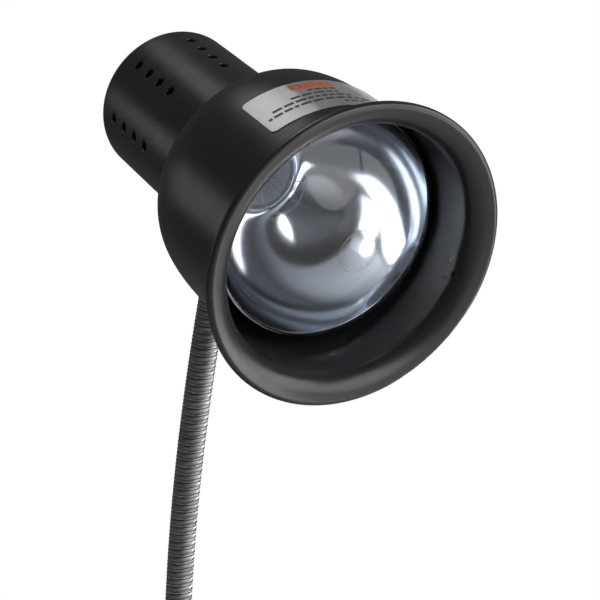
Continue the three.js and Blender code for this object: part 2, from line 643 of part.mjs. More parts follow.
function addLampholder() {
  const body = turned([
    [0, SOCKET_REAR_T],
    [SOCKET_RADIUS - 1.5, SOCKET_REAR_T],
    [SOCKET_RADIUS, SOCKET_REAR_T + 1.5],
    [SOCKET_RADIUS, SOCKET_FRONT_T - 1.5],
    [SOCKET_RADIUS - 1.5, SOCKET_FRONT_T],
    [15.2, SOCKET_FRONT_T],
    [15.2, SOCKET_FLOOR_T],
    [0, SOCKET_FLOOR_T],
  ], 24);
  const screwHoles = [-1, 1].flatMap((side) => [
    rod(1.8, SOCKET_REAR_T - 1, SOCKET_REAR_T + 10, 10).translate(0, side * SOCKET_SCREW_Y, 0),
    rod(1.8, 0, 10, 10).rotateX((-side * Math.PI) / 2).translate(0, side * (SOCKET_RADIUS - 7), TERMINAL_T),
  ]);
  piece(head, "socket_body", cut(body, ...screwHoles), porcelain);
  const shellLow = SOCKET_FLOOR_T + 5;
  const thread = Array.from({ length: 9 }, (_, i) => [i % 2 ? 14.1 : 14.4, shellLow + i * 2.7]);
  const skin = [[14.8, shellLow + 21.6], [14.8, shellLow]];
  piece(head, "socket_shell", turned([...thread, ...skin], 20), brass);
  const button = turned([[0, 0], [6, 0], [6, 0.8], [3, 1.6], [0, 1.6]], 16);
  piece(head, "socket_contact", button, brass).position.z = SOCKET_FLOOR_T + GAP;
  piece(head, "socket_bracket", bracket(), plainSteel);

  [-1, 1].forEach((side, i) => {
    const fixing = panScrew(3, 1.6, 1.5, 10).rotateX(Math.PI);
    const fixingT = BRACKET_SEAT_T - BRACKET_SHEET - GAP;
    piece(head, `socket_screw_${i + 1}`, fixing, plainSteel).position.set(0, side * SOCKET_SCREW_Y, fixingT);
    const rear = panScrew(3.6, 2, 1.6, 6).rotateX(Math.PI);
    const rearT = HOUSING_REAR_T - GAP;
    piece(head, `rear_screw_${i + 1}`, rear, blackCoat).position.set(0, side * REAR_SCREW_Y, rearT);
    const terminal = panScrew(3.2, 1.8, 1.5, 6).rotateX((-side * Math.PI) / 2);
    const terminalY = side * (SOCKET_RADIUS + GAP);
    piece(head, `terminal_screw_${i + 1}`, terminal, brass).position.set(0, terminalY, TERMINAL_T);
    const lead = wire([
      [0, side * 25.2, TERMINAL_T - 1], [6, side * 27, TERMINAL_T + 6], [20, side * 22, -168],
      [27, side * 10, -150], [30, side * 2.2, -140], [36, side * 1.6, ATTACH_T], [50, side * 1.6, ATTACH_T],
    ], LEAD_RADIUS, 18);
    piece(head, `head_lead_${i + 1}`, lead, side < 0 ? blackWire : whiteWire);
  });
}

// ---------------------------------------------------------------- bulb
// In the bulb's group z = 0 is the centre of the screw shell; it sits a little askew in its holder.
const bulb = new THREE.Group();
bulb.position.z = BULB_PIVOT_T;
bulb.quaternion.setFromAxisAngle(
  new THREE.Vector3(-Math.sin(BULB_ASKEW_TOWARDS), Math.cos(BULB_ASKEW_TOWARDS), 0),
  BULB_ASKEW,
);
head.add(bulb);
const fromFace = (distance) => BULB_APEX_T - BULB_PIVOT_T - distance;

// Radius of the bulb at a distance behind the seam: a full bowl that ends in the neck.
function bowlRadius(behind) {
  const rest = Math.max(0, 1 - (behind / BOWL_DEPTH) ** BOWL_SIDE_POWER);
  const bowl = BULB_RADIUS * rest ** (1 / BOWL_FLOOR_POWER);
  return (bowl ** NECK_BLEND_POWER + BULB_NECK_RADIUS ** NECK_BLEND_POWER) ** (1 / NECK_BLEND_POWER);
}

// Silvered reflector: a bowl with a neck, and the inside of its wall offset from the outside.
function reflector() {
  const behind = [76, 70.5, 66.5, 61, 50, 35, 18, 0];
  const outside = behind.map((distance) => [bowlRadius(distance), fromFace(BULB_SEAM + distance)]);
  const inside = outside.map(([r, z], i) => {
    if (i === 0 || i === outside.length - 1) return [r - BULB_GLASS, z];
    const along = new THREE.Vector2(...outside[i + 1]).sub(new THREE.Vector2(...outside[i - 1])).normalize();
    return [r - BULB_GLASS * along.y, z + BULB_GLASS * along.x];
  });
  const rearEnd = fromFace(BASE_SHELL[0] - 1);
  return turned([
    [12.6, rearEnd],
    [13.6, rearEnd],
    [15, fromFace(134)],
    [BULB_NECK_RADIUS, fromFace(126)],
    ...outside,
    ...inside.reverse(),
    [BULB_NECK_RADIUS - BULB_GLASS, fromFace(126)],
    [14, fromFace(134)],
  ], 28);
}

// Clear face: a shallow dome with a rounded edge.
function face() {
  const domeTurn = Math.asin(FACE_EDGE / FACE_CURVE);
  const edgeDepth = FACE_CURVE * (1 - Math.cos(domeTurn));
  const shell = (inset) => {
    const radius = FACE_CURVE - inset;
    const dome = arc([0, fromFace(FACE_CURVE)], [radius, radius], Math.PI / 2, Math.PI / 2 - domeTurn, 3);
    const seam = fromFace(BULB_SEAM - GAP);
    const middle = [BULB_RADIUS - 2.6 - inset, fromFace(edgeDepth + 5) - inset / 2];
    return [...dome, middle, [BULB_RADIUS - inset, seam]];
  };
  return turned([...shell(0), ...shell(BULB_GLASS).reverse()], 28);
}

function addBulb() {
  piece(bulb, "bulb_reflector", reflector(), silvering);
  piece(bulb, "bulb_face", face(), clearGlass);
  const [shellFront, shellRear] = BASE_SHELL.map(fromFace);
  const ridges = Array.from({ length: 7 }, (_, i) => [i % 2 ? 13.2 : 12.3, shellRear + 1 + i * 2.9]);
  const shell = turned(
    [[11.4, shellRear], [12, shellRear], ...ridges, [12.9, shellFront], [11.4, shellFront]],
    20,
  );
  piece(bulb, "bulb_base_shell", shell, brass);
  const cone = turned([
    [0, shellRear + 3],
    [11, shellRear + 3],
    [11, shellRear - GAP],
    [5, shellRear - 3.2],
    [0, shellRear - 3.2],
  ], 16);
  piece(bulb, "bulb_insulator", cone, blackPlastic);
  piece(bulb, "bulb_contact", rod(4.4, fromFace(BULB_LENGTH), shellRear - 3.5, 16), plainSteel);

  const stemFoot = shellRear + 3 + GAP;
  const stemTop = fromFace(92);
  const stem = turned([
    [0, stemFoot],
    [9.5, stemFoot],
    [9.5, stemFoot + 2],
    [5, stemFoot + 14],
    [3.6, stemTop - 10],
    [3.2, stemTop],
    [0, stemTop],
  ], 16);
  piece(bulb, "bulb_stem", stem, clearGlass);
  const coilZ = fromFace(74);
  const coilRadius = 13;
  const coil = Array.from({ length: 9 }, (_, i) => {
    const turn = rad(-115 + (230 * i) / 8);
    return [coilRadius * Math.cos(turn), coilRadius * Math.sin(turn), coilZ];
  });
  const posts = [-1, 1].map((side) => {
    const tip = side < 0 ? coil[0] : coil.at(-1);
    return wire([
      [-1.2, side * 2.2, stemTop + GAP], [-2, side * 5, stemTop + 6], [tip[0], tip[1], coilZ],
    ], 0.55, 5);
  });
  piece(bulb, "bulb_filament", joined(wire(coil, 1.1, 14), ...posts), tungsten);
}

// ---------------------------------------------------------------- assembly
addBase();
addGland();
addBaseLeads();
addSwitch();
addNeckFoot();
addNeck();
piece(head, "socket_housing", housing(), blackCoat);
piece(head, "shade", shade(), blackCoat);
piece(head, "foil_label", label(), foil);
addShadeScrews();
addNeckTop();
addLampholder();
addBulb();

export default lamp;
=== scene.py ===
import json
import math
import random

import bmesh
import bpy
from mathutils import Matrix, Vector, noise

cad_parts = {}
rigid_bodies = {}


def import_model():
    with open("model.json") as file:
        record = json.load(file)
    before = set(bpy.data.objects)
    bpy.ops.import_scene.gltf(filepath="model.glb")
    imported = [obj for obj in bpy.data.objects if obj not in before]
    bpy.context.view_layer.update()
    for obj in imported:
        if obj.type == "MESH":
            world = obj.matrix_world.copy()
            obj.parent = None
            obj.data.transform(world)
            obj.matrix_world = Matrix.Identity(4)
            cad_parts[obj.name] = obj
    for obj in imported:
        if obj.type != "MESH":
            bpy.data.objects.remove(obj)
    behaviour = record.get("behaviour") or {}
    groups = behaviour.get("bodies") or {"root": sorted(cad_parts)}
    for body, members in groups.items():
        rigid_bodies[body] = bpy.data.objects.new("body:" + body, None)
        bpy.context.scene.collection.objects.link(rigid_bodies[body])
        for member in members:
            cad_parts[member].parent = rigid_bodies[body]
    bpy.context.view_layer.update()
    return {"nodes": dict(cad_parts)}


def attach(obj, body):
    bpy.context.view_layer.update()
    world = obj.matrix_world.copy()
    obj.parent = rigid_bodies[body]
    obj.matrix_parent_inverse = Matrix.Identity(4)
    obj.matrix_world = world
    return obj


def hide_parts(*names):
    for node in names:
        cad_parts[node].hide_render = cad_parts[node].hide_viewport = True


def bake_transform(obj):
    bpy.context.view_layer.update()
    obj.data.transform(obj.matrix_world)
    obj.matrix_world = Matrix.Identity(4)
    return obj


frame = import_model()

# The heat lamp warmer in the row frame. Sizes are in millimetres, and placed() turns them into metres.
scene = bpy.context.scene
rad = math.radians
MM = 0.001
GAP = 0.3  # between pieces that touch


def at(x=0.0, y=0.0, z=0.0):
    return Matrix.Translation((x, y, z))


def turn(axis, degrees):
    return Matrix.Rotation(rad(degrees), 4, axis)


# ------ camera
CAMERA_PLACE = (0.9, -0.4735, 0.5141)
CAMERA_TURN = -30.66  # degrees about Z from +X, from the lamp to the camera
CAMERA_HEIGHT = 5.0  # degrees that it looks down
camera = bpy.data.objects.new("camera", bpy.data.cameras.new("camera"))
scene.collection.objects.link(camera)
scene.camera = camera
camera.data.lens = 103.85
camera.data.sensor_width = 36
camera.matrix_world = at(*CAMERA_PLACE) @ turn("Z", 90 + CAMERA_TURN) @ turn("X", 90 - CAMERA_HEIGHT)
scene.view_settings.view_transform = "Standard"

# ------ frames
BASE_TOP = 30
NECK_X = -50
NECK_LENGTH = 445
NECK_BEND = 300
HEAD_DIP = rad(21.7)
HOUSING_RADIUS = 45.8
ATTACH_T = -138  # where the neck meets the housing
BULB_PIVOT_T = -165  # centre of the screw shell, about which the bulb sits slightly askew
BULB_APEX = 153  # from there to the top of the bulb's face
BULB_ASKEW = 1.35
BULB_TOWARDS = rad(142)


def lean_at(below):
    """The neck's lean from upright, at a distance below the point where it meets the head."""
    x = min(below / NECK_BEND, 1)
    return HEAD_DIP * (1 - x) * (1 + x / 2)


def neck_line(step=0.35):
    """Points and leans up the neck's centreline, from the base's top."""
    points, leans = [Vector((NECK_X, 0, BASE_TOP))], [0.0]
    count = round(NECK_LENGTH / step)
    size = NECK_LENGTH / count
    for i in range(count):
        lean = lean_at(NECK_LENGTH - (i + 0.5) * size)
        points.append(points[-1] + Vector((math.sin(lean), 0, math.cos(lean))) * size)
        leans.append(lean_at(NECK_LENGTH - (i + 1) * size))
    return points, leans, size


NECK_POINTS, NECK_LEANS, NECK_STEP = neck_line()

# The head's frame: z = 0 at the rim and negative towards the rear, and +x is its underside.
HEAD = (at(*NECK_POINTS[-1]) @ Matrix.Rotation(math.pi / 2 + HEAD_DIP, 4, "Y")
        @ at(-HOUSING_RADIUS, 0, -ATTACH_T))
# The bulb's frame: z = 0 at the top of its face and negative towards its base.
BULB_AXIS = Vector((-math.sin(BULB_TOWARDS), math.cos(BULB_TOWARDS), 0))
BULB = HEAD @ at(z=BULB_PIVOT_T) @ turn(BULB_AXIS, BULB_ASKEW) @ at(z=BULB_APEX)


# ------ materials
def add(nodes, kind, **values):
    """A new shader node of a kind, with these input values."""
    node = nodes.new("ShaderNode" + kind)
    for socket, value in values.items():
        node.inputs[socket.replace("_", " ")].default_value = value
    return node


class Finish:
    """A material with one Principled shader, and short ways to add procedural variation to it."""

    def __init__(self, name, color, roughness, metallic=0.0, **sockets):
        self.material = bpy.data.materials.new(name)
        self.material.use_nodes = True
        self.nodes = self.material.node_tree.nodes
        self.links = self.material.node_tree.links
        self.shader = self.nodes["Principled BSDF"]
        self.shader.inputs["Base Color"].default_value = (*color, 1)
        self.shader.inputs["Roughness"].default_value = roughness
        self.shader.inputs["Metallic"].default_value = metallic
        for socket, value in sockets.items():
            self.shader.inputs[socket.replace("_", " ")].default_value = value
        self.color = color
        self.roughness = roughness
        self.where = self.nodes.new("ShaderNodeTexCoord").outputs["Object"]

    def noise(self, scale, detail=2.0):
        """Noise with features about 1 / scale metres across."""
        node = add(self.nodes, "TexNoise", Scale=scale, Detail=detail)
        self.links.new(self.where, node.inputs["Vector"])
        return node.outputs["Fac"]

    def vary_roughness(self, scale, amount):
        node = add(self.nodes, "MapRange", From_Min=0.3, From_Max=0.7, To_Min=self.roughness - amount,
                   To_Max=self.roughness + amount)
        self.links.new(self.noise(scale), node.inputs["Value"])
        self.links.new(node.outputs["Result"], self.shader.inputs["Roughness"])
        return self

    def vary_color(self, other, scale):
        return self.color_from(self.noise(scale), [(0.35, self.color), (0.65, other)])

    def paint_reflection_bands(self, bands, tint, low, high, wander=0.08):
        """Soft-edged bands of painted reflection across Y from low to high, each a place and how bright it
        is.

        A bright band has the plain color and stands for mirrored light; a dim one is darker and nearer the
        tint and stands for a mirrored dim room.
        """
        across = self.nodes.new("ShaderNodeSeparateXYZ")
        self.links.new(self.where, across.inputs["Vector"])
        place = add(self.nodes, "MapRange", From_Min=low, From_Max=high)
        self.links.new(across.outputs["Y"], place.inputs["Value"])
        shift = self.nodes.new("ShaderNodeMath")
        shift.operation = "MULTIPLY_ADD"
        shift.inputs[1].default_value = wander
        self.links.new(self.noise(90, detail=3), shift.inputs[0])
        self.links.new(place.outputs["Result"], shift.inputs[2])
        stops = []
        for position, bright in bands:
            stops.append((position + wander / 2, Vector(tint).lerp(Vector(self.color), bright) * bright))
        return self.color_from(shift.outputs["Value"], stops)

    def color_from(self, value, stops):
        """The base color by a ramp over a value, with stops that are a place and a color."""
        ramp = self.nodes.new("ShaderNodeValToRGB")
        while len(ramp.color_ramp.elements) < len(stops):
            ramp.color_ramp.elements.new(0.5)
        for element, (position, color) in zip(ramp.color_ramp.elements, stops):
            element.position = position
            element.color = (*color, 1)
        self.links.new(value, ramp.inputs["Fac"])
        self.links.new(ramp.outputs["Color"], self.shader.inputs["Base Color"])
        return self

    def bump(self, scale, height, strength, detail=2.0):
        """Fine relief of that height in metres."""
        node = add(self.nodes, "Bump", Distance=height, Strength=strength)
        self.links.new(self.noise(scale, detail), node.inputs["Height"])
        self.links.new(node.outputs["Normal"], self.shader.inputs["Normal"])
        return self


black_coat = Finish("black_powder_coat", (0.018, 0.018, 0.019), 0.30)
black_coat.vary_roughness(60, 0.03).bump(700, 0.00005, 0.12)
neck_steel = Finish("gooseneck_steel", (0.4, 0.4, 0.41), 0.42, 1.0)
neck_steel.vary_color((0.29, 0.29, 0.3), 90).vary_roughness(160, 0.07)
neck_ridge = Finish("gooseneck_ridge", (0.27, 0.27, 0.28), 0.5, 1.0)
neck_ridge.vary_color((0.21, 0.21, 0.22), 90).vary_roughness(160, 0.06)
# Painted shade: a dark finish for the grooves between the wound wires, where shade falls.
neck_groove_shade = Finish("gooseneck_groove_shade", (0.09, 0.09, 0.095), 0.55, 0.8).vary_roughness(160, 0.06)
zinc = Finish("zinc_plated_steel", (0.55, 0.56, 0.57), 0.32, 1.0)
zinc.vary_color((0.43, 0.44, 0.44), 120).vary_roughness(200, 0.06)
iron = Finish("cast_iron", (0.06, 0.06, 0.062), 0.75, 0.6)
iron.vary_roughness(80, 0.08).bump(500, 0.0003, 0.6, detail=5)
brass = Finish("brass", (0.62, 0.45, 0.2), 0.32, 1.0)
brass.vary_color((0.45, 0.32, 0.15), 150).vary_roughness(200, 0.06)
black_plastic = Finish("black_plastic", (0.012, 0.012, 0.013), 0.42)
black_plastic.vary_roughness(150, 0.04).bump(1600, 0.00003, 0.25)
rocker_plastic = Finish("rocker_plastic", (0.02, 0.02, 0.021), 0.26).vary_roughness(150, 0.03)
white_mark = Finish("white_mark", (0.75, 0.75, 0.73), 0.5).vary_roughness(200, 0.03)
rubber = Finish("rubber_pad", (0.014, 0.014, 0.014), 0.85).vary_roughness(90, 0.05).bump(900, 0.0001, 0.5)
porcelain = Finish("porcelain", (0.78, 0.76, 0.7), 0.2).vary_color((0.7, 0.67, 0.6), 60)
silvering = Finish("bulb_silvering", (0.79, 0.83, 0.89), 0.11, 1.0).vary_roughness(25, 0.03)
silvering_back = Finish("bulb_silvering_back", (0.30, 0.36, 0.43), 0.35)
silvering_back.vary_color((0.24, 0.29, 0.35), 40).vary_roughness(60, 0.05)
neck_glass = Finish("bulb_neck_silvering", (0.82, 0.85, 0.9), 0.45, 0.4).vary_roughness(60, 0.04)
glass = Finish("bulb_glass", (1.0, 1.0, 1.0), 0.02, Transmission_Weight=1.0, IOR=1.25)
frost = Finish("bulb_mark", (0.19, 0.16, 0.14), 0.6).vary_color((0.3, 0.27, 0.24), 400)
tungsten = Finish("tungsten", (0.46, 0.46, 0.47), 0.5, 0.6).vary_roughness(400, 0.05)
foil = Finish("label_foil", (0.88, 0.88, 0.87), 0.34, 0.2)
# Painted reflection: the foil's colour is dim across its middle, as if it mirrored a dim room, and plain at
# its ends, as if it mirrored the soft light.
foil_painted_reflection = [(0.0, 1.0), (0.27, 0.86), (0.31, 0.42), (0.45, 0.34), (0.62, 0.45), (0.72, 1.0)]
foil.paint_reflection_bands(foil_painted_reflection, tint=(0.88, 0.84, 0.80), low=-0.05, high=0.05)
foil.vary_roughness(70, 0.06).bump(120, 0.0001, 0.3)
label_orange = Finish("label_orange", (0.62, 0.11, 0.03), 0.45).vary_roughness(120, 0.04)
label_grey = Finish("label_grey", (0.05, 0.05, 0.055), 0.5).vary_roughness(120, 0.04)
black_wire = Finish("black_wire", (0.02, 0.02, 0.02), 0.5).vary_roughness(120, 0.05)
white_wire = Finish("white_wire", (0.7, 0.69, 0.65), 0.5).vary_roughness(120, 0.05)
green_wire = Finish("green_wire", (0.03, 0.22, 0.06), 0.5).vary_roughness(120, 0.05)


# ------ meshes
SHARP = 38  # degrees between two faces past which their edge stays sharp


def placed(name, mesh, place, smooth, finishes):
    """An object of a mesh in millimetres, placed in the row frame in metres."""
    mesh.transform(Matrix.Scale(MM, 4) @ place)
    mesh.shade_smooth()
    mesh.set_sharp_from_angle(angle=rad(smooth))
    for finish in finishes:
        mesh.materials.append(finish.material)
    obj = bpy.data.objects.new(name, mesh)
    scene.collection.objects.link(obj)
    return obj


def solid(name, vertices, faces, finish, place=Matrix(), smooth=SHARP, weld=1e-4, also=(), kinds=None):
    """An object of these faces, facing out. A face's kind picks from the finish and the others."""
    mesh = bpy.data.meshes.new(name)
    mesh.from_pydata([tuple(v) for v in vertices], [], faces)
    if kinds:
        mesh.polygons.foreach_set("material_index", kinds)
    shaped = bmesh.new()
    shaped.from_mesh(mesh)
    bmesh.ops.remove_doubles(shaped, verts=shaped.verts, dist=weld)
    bmesh.ops.dissolve_degenerate(shaped, edges=shaped.edges, dist=weld)
    bmesh.ops.recalc_face_normals(shaped, faces=shaped.faces)
    shaped.to_mesh(mesh)
    shaped.free()
    return placed(name, mesh, place, smooth, (finish, *also))


def rounded(points, steps=4):
    """A closed outline's points with corners rounded. A point is (x, y) or (x, y, corner radius)."""
    out = []
    for i, point in enumerate(points):
        radius = point[2] if len(point) > 2 else 0
        corner = Vector(point[:2])
        if radius == 0:
            out.append(tuple(corner))
            continue
        before = (Vector(points[i - 1][:2]) - corner).normalized()
        after = (Vector(points[(i + 1) % len(points)][:2]) - corner).normalized()
        half = before.angle(after) / 2
        centre = corner + (before + after).normalized() * radius / math.sin(half)
        start = corner + before * radius / math.tan(half) - centre
        end = corner + after * radius / math.tan(half) - centre
        sweep = start.angle_signed(end)
        for k in range(steps + 1):
            turned = start.copy()
            turned.rotate(Matrix.Rotation(-sweep * k / steps, 2))
            out.append(tuple(centre + turned))
    return out


def arc(centre, radii, start, end, steps):
    """Points of an arc, with angles in degrees."""
    return [(centre[0] + radii[0] * math.cos(rad(start + (end - start) * k / steps)),
             centre[1] + radii[1] * math.sin(rad(start + (end - start) * k / steps)))
            for k in range(steps + 1)]


def ring_faces(around, count, closed):
    """Faces of a skin with this many columns all round, each of count points, open or closed on itself."""
    faces = []
    for j in range(around):
        here, there = j * count, ((j + 1) % around) * count
        for i in range(count if closed else count - 1):
            k = (i + 1) % count
            faces.append((here + i, there + i, there + k, here + k))
    return faces


def lathe(name, profile, finish, place=Matrix(), sides=96, smooth=SHARP, wobble=None, kind_of=None, also=()):
    """A turned solid about z from (r, z) points. Off the axis, the profile closes on itself."""
    count = len(profile)
    closed = profile[0][0] > 1e-6 or profile[-1][0] > 1e-6
    vertices = []
    for j in range(sides):
        a = 2 * math.pi * j / sides
        for r, z in profile:
            r = wobble(r, z, a) if wobble else r
            vertices.append((r * math.cos(a), r * math.sin(a), z))
    faces = ring_faces(sides, count, closed)
    kinds = [kind_of(face[0] % count) for face in faces] if kind_of else None
    return solid(name, vertices, faces, finish, place, smooth, also=also, kinds=kinds)


def extrude(name, outline, low, high, finish, place=Matrix(), bevel=0.0):
    """An outline in x and y, extruded along z, with the edges round its two ends bevelled."""
    shaped = bmesh.new()
    low_ring = [shaped.verts.new((x, y, low)) for x, y in outline]
    high_ring = [shaped.verts.new((x, y, high)) for x, y in outline]
    shaped.faces.new(low_ring)
    shaped.faces.new(high_ring)
    for i in range(len(outline)):
        k = (i + 1) % len(outline)
        shaped.faces.new((low_ring[i], low_ring[k], high_ring[k], high_ring[i]))
    bmesh.ops.recalc_face_normals(shaped, faces=shaped.faces)
    if bevel:
        rims = [e for e in shaped.edges if abs(e.verts[0].co.z - e.verts[1].co.z) < 1e-6]
        bmesh.ops.bevel(shaped, geom=rims, offset=bevel, segments=3, profile=0.5, affect="EDGES",
                        clamp_overlap=True)
    mesh = bpy.data.meshes.new(name)
    shaped.to_mesh(mesh)
    shaped.free()
    return placed(name, mesh, place, SHARP, (finish,))


def carve(obj, *cutters):
    """obj with the cutters' solids taken out of it."""
    for cutter in cutters:
        modifier = obj.modifiers.new("cut", "BOOLEAN")
        modifier.operation = "DIFFERENCE"
        modifier.solver = "EXACT"
        modifier.object = cutter
    evaluated = obj.evaluated_get(bpy.context.evaluated_depsgraph_get())
    mesh = bpy.data.meshes.new_from_object(evaluated)
    obj.modifiers.clear()
    obj.data = mesh
    mesh.set_sharp_from_angle(angle=rad(SHARP))
    for cutter in cutters:
        bpy.data.objects.remove(cutter)
    return obj


def finished(obj, body, *nodes, slot=None):
    """The piece rides a body and stands for these CAD nodes, which it hides.

    The slot argument is not used. Blender adds .001 to a name in use.
    """
    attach(obj, body)
    if nodes:
        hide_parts(*nodes)
    return obj


def rounded_box(x, y, corner, steps=6):
    return rounded([(x / 2, y / 2, corner), (-x / 2, y / 2, corner), (-x / 2, -y / 2, corner),
                    (x / 2, -y / 2, corner)], steps)


def circle(radius, count=32):
    return [(radius * math.cos(2 * math.pi * k / count), radius * math.sin(2 * math.pi * k / count))
            for k in range(count)]


def screw(name, node, head_radius, head_height, shank, length, body, finish, place):
    """A pan-head screw with a cross recess: its head above z = 0 and its shank below."""
    crown = head_height * 0.55
    profile = [(0, head_height)]
    profile += [(head_radius * 0.8 * math.sin(rad(a)), crown + (head_height - crown) * math.cos(rad(a)))
                for a in (20, 40, 60, 80)]
    profile += [(head_radius * 0.93, crown * 0.8), (head_radius, crown * 0.35), (head_radius, 0),
                (shank, 0), (shank, 0.4 - length), (shank - 0.4, -length), (0, -length)]
    body_mesh = lathe(name, profile, finish, place, 32)
    wide, deep = head_radius * 0.2, head_height * 0.62
    cutters = []
    for quarter in (0, 90):
        arm = rounded_box(head_radius * 1.15, wide, wide * 0.3, 2)
        cutters.append(extrude("recess", arm, head_height - deep, head_height + 1, finish,
                               place @ turn("Z", quarter)))
    carve(body_mesh, *cutters)
    return finished(body_mesh, body, node)


# ------ shade
HEAD_HOLE = 38.5  # radius of the opening between the shade and the housing
SHADE_BACK_T = -103


def shade_profile():
    """(r, t) round the spun sheet: flat back, elliptic shoulder, straight wall, flared lip, rolled rim."""
    bell, rim, sheet = 71.2, 85, 1.1
    inset, shoulder_t = 6.5, -65
    bend, lip, bead = 11.5, 72, 2.4
    depth = shoulder_t - SHADE_BACK_T
    inner = bend + sheet
    centre_r, bead_r = bell + bend, rim - bead
    drop = (centre_r - bead_r) * math.cos(rad(lip)) + bead - inner
    centre_t = -bead + drop / math.sin(rad(lip))
    bead_start = 180 - lip + math.degrees(math.acos(1 - sheet / bead)) - 360
    shoulder = (bell - inset, shoulder_t)
    points = [(HEAD_HOLE, SHADE_BACK_T)]
    points += arc(shoulder, (inset, depth), -90, 0, 32)
    points += arc((centre_r, centre_t), (bend, bend), 180, 180 - lip, 14)
    points += arc((bead_r, -bead), (bead, bead), bead_start, 180 - lip, 24)
    points += arc((centre_r, centre_t), (inner, inner), 180 - lip, 180, 14)
    points += arc(shoulder, (inset - sheet, depth - sheet), 0, -90, 32)
    points += [(HEAD_HOLE, SHADE_BACK_T + sheet)]
    return points


shade = lathe("bell_shade", shade_profile(), black_coat, HEAD, 224, smooth=30)
finished(shade, "head", "shade")


# ------ housing
HOUSING_SHEET = 1.2
HOUSING_EDGE = 2.5
HOUSING_REAR_T = -228.7
HOUSING_FRONT_T = -103.3
VENT_RADIUS = 3
VENT_COLUMNS = 8
VENT_COLUMN_TURN = 360 / VENT_COLUMNS
VENT_TURN = 5
VENT_PITCH = 14.6
VENT_ROWS_T = [-210.6 + VENT_PITCH * k for k in range(4)]


def vented_wall(outer, inner):
    """Both skins of the wall round every vent, as rings of points from a vent's edge to its cell's edge."""
    across, along = 24, 8
    edge = [(k / across - 0.5, -0.5) for k in range(across)]
    edge += [(0.5, k / along - 0.5) for k in range(along)]
    edge += [(-x, -y) for x, y in edge]
    wide = rad(VENT_COLUMN_TURN) * outer
    edge = [(x * wide, y * VENT_PITCH) for x, y in edge]
    hole, fillet = VENT_RADIUS, 0.3
    outer_rings = [(hole, inner), (hole, outer - 0.25), (hole + 0.1, outer - 0.07), (hole + fillet, outer)]
    inner_rings = [(hole, inner), (hole + fillet, inner)]
    vertices, faces = [], []

    def skin(rings, radius, centre_angle, centre_t, spread=6):
        """Rings near the hole by radius, then rings that open out into the cell's edge."""
        start = len(vertices)
        levels = []
        for ring_radius, depth in rings:
            levels.append([(ring_radius * x / math.hypot(x, y), ring_radius * y / math.hypot(x, y), depth)
                           for x, y in edge])
        last = levels[-1]
        for k in range(1, spread + 1):
            f = k / spread
            levels.append([(a[0] * (1 - f) + b[0] * f, a[1] * (1 - f) + b[1] * f, radius)
                           for a, b in zip(last, edge)])
        for level in levels:
            for x, y, depth in level:
                angle = centre_angle + x / outer
                vertices.append((depth * math.cos(angle), depth * math.sin(angle), centre_t + y))
        n = len(edge)
        for i in range(len(levels) - 1):
            for j in range(n):
                near, far = start + i * n, start + (i + 1) * n
                k = (j + 1) % n
                faces.append((near + j, near + k, far + k, far + j))

    for column in range(VENT_COLUMNS):
        centre_angle = rad(VENT_TURN + column * VENT_COLUMN_TURN)
        for centre_t in VENT_ROWS_T:
            skin(outer_rings, outer, centre_angle, centre_t)
            skin(inner_rings, inner, centre_angle, centre_t)
    return vertices, faces


def housing():
    """A drawn cup with rows of vents, closed at the rear and flanged at the front."""
    outer, sheet, edge = HOUSING_RADIUS, HOUSING_SHEET, HOUSING_EDGE
    rear, front = HOUSING_REAR_T, HOUSING_FRONT_T
    inner = outer - sheet
    low, high = VENT_ROWS_T[0] - VENT_PITCH / 2, VENT_ROWS_T[-1] + VENT_PITCH / 2
    vertices, faces = vented_wall(outer, inner)
    sides = 192
    phase = rad(VENT_TURN - VENT_COLUMN_TURN / 2)

    def strip(profile):
        start = len(vertices)
        for j in range(sides):
            a = phase + 2 * math.pi * j / sides
            for r, t in profile:
                vertices.append((r * math.cos(a), r * math.sin(a), t))
        for face in ring_faces(sides, len(profile), closed=False):
            faces.append(tuple(start + corner for corner in face))

    strip([(outer, high), (outer, -152), (outer, -144), (outer, -128), (outer, -115), (outer, front - 0.4),
           (outer - 0.12, front - 0.12), (outer - 0.4, front), (HEAD_HOLE, front), (HEAD_HOLE, front - sheet),
           (inner, front - sheet), (inner, -128), (inner, -144), (inner, high)])
    corner = (outer - edge, rear + edge)
    strip([(outer, low), *arc(corner, (edge, edge), 0, -90, 10), (30, rear), (15, rear), (0, rear)])
    strip([(inner, low), *arc(corner, (edge - sheet, edge - sheet), 0, -90, 5), (30, rear + sheet),
           (0, rear + sheet)])
    return solid("socket_housing_shell", vertices, faces, black_coat, HEAD, smooth=30, weld=2e-3)


finished(housing(), "head", "socket_housing")
for i, side in enumerate((-1, 1)):
    screw(f"rear_fixing_{i + 1}", f"rear_screw_{i + 1}", 3.6, 2, 1.6, 6, "head", black_coat,
          HEAD @ at(0, side * 34, HOUSING_REAR_T - GAP) @ turn("X", 180) @ turn("Z", 20 + 50 * i))
for i, angle in enumerate((60, 180, 300)):
    screw(f"shade_fixing_{i + 1}", f"shade_screw_{i + 1}", 2.5, 1.6, 1.25, 8, "head", zinc,
          HEAD @ turn("Z", angle) @ at(41.5, 0, SHADE_BACK_T + 1.1 + GAP))


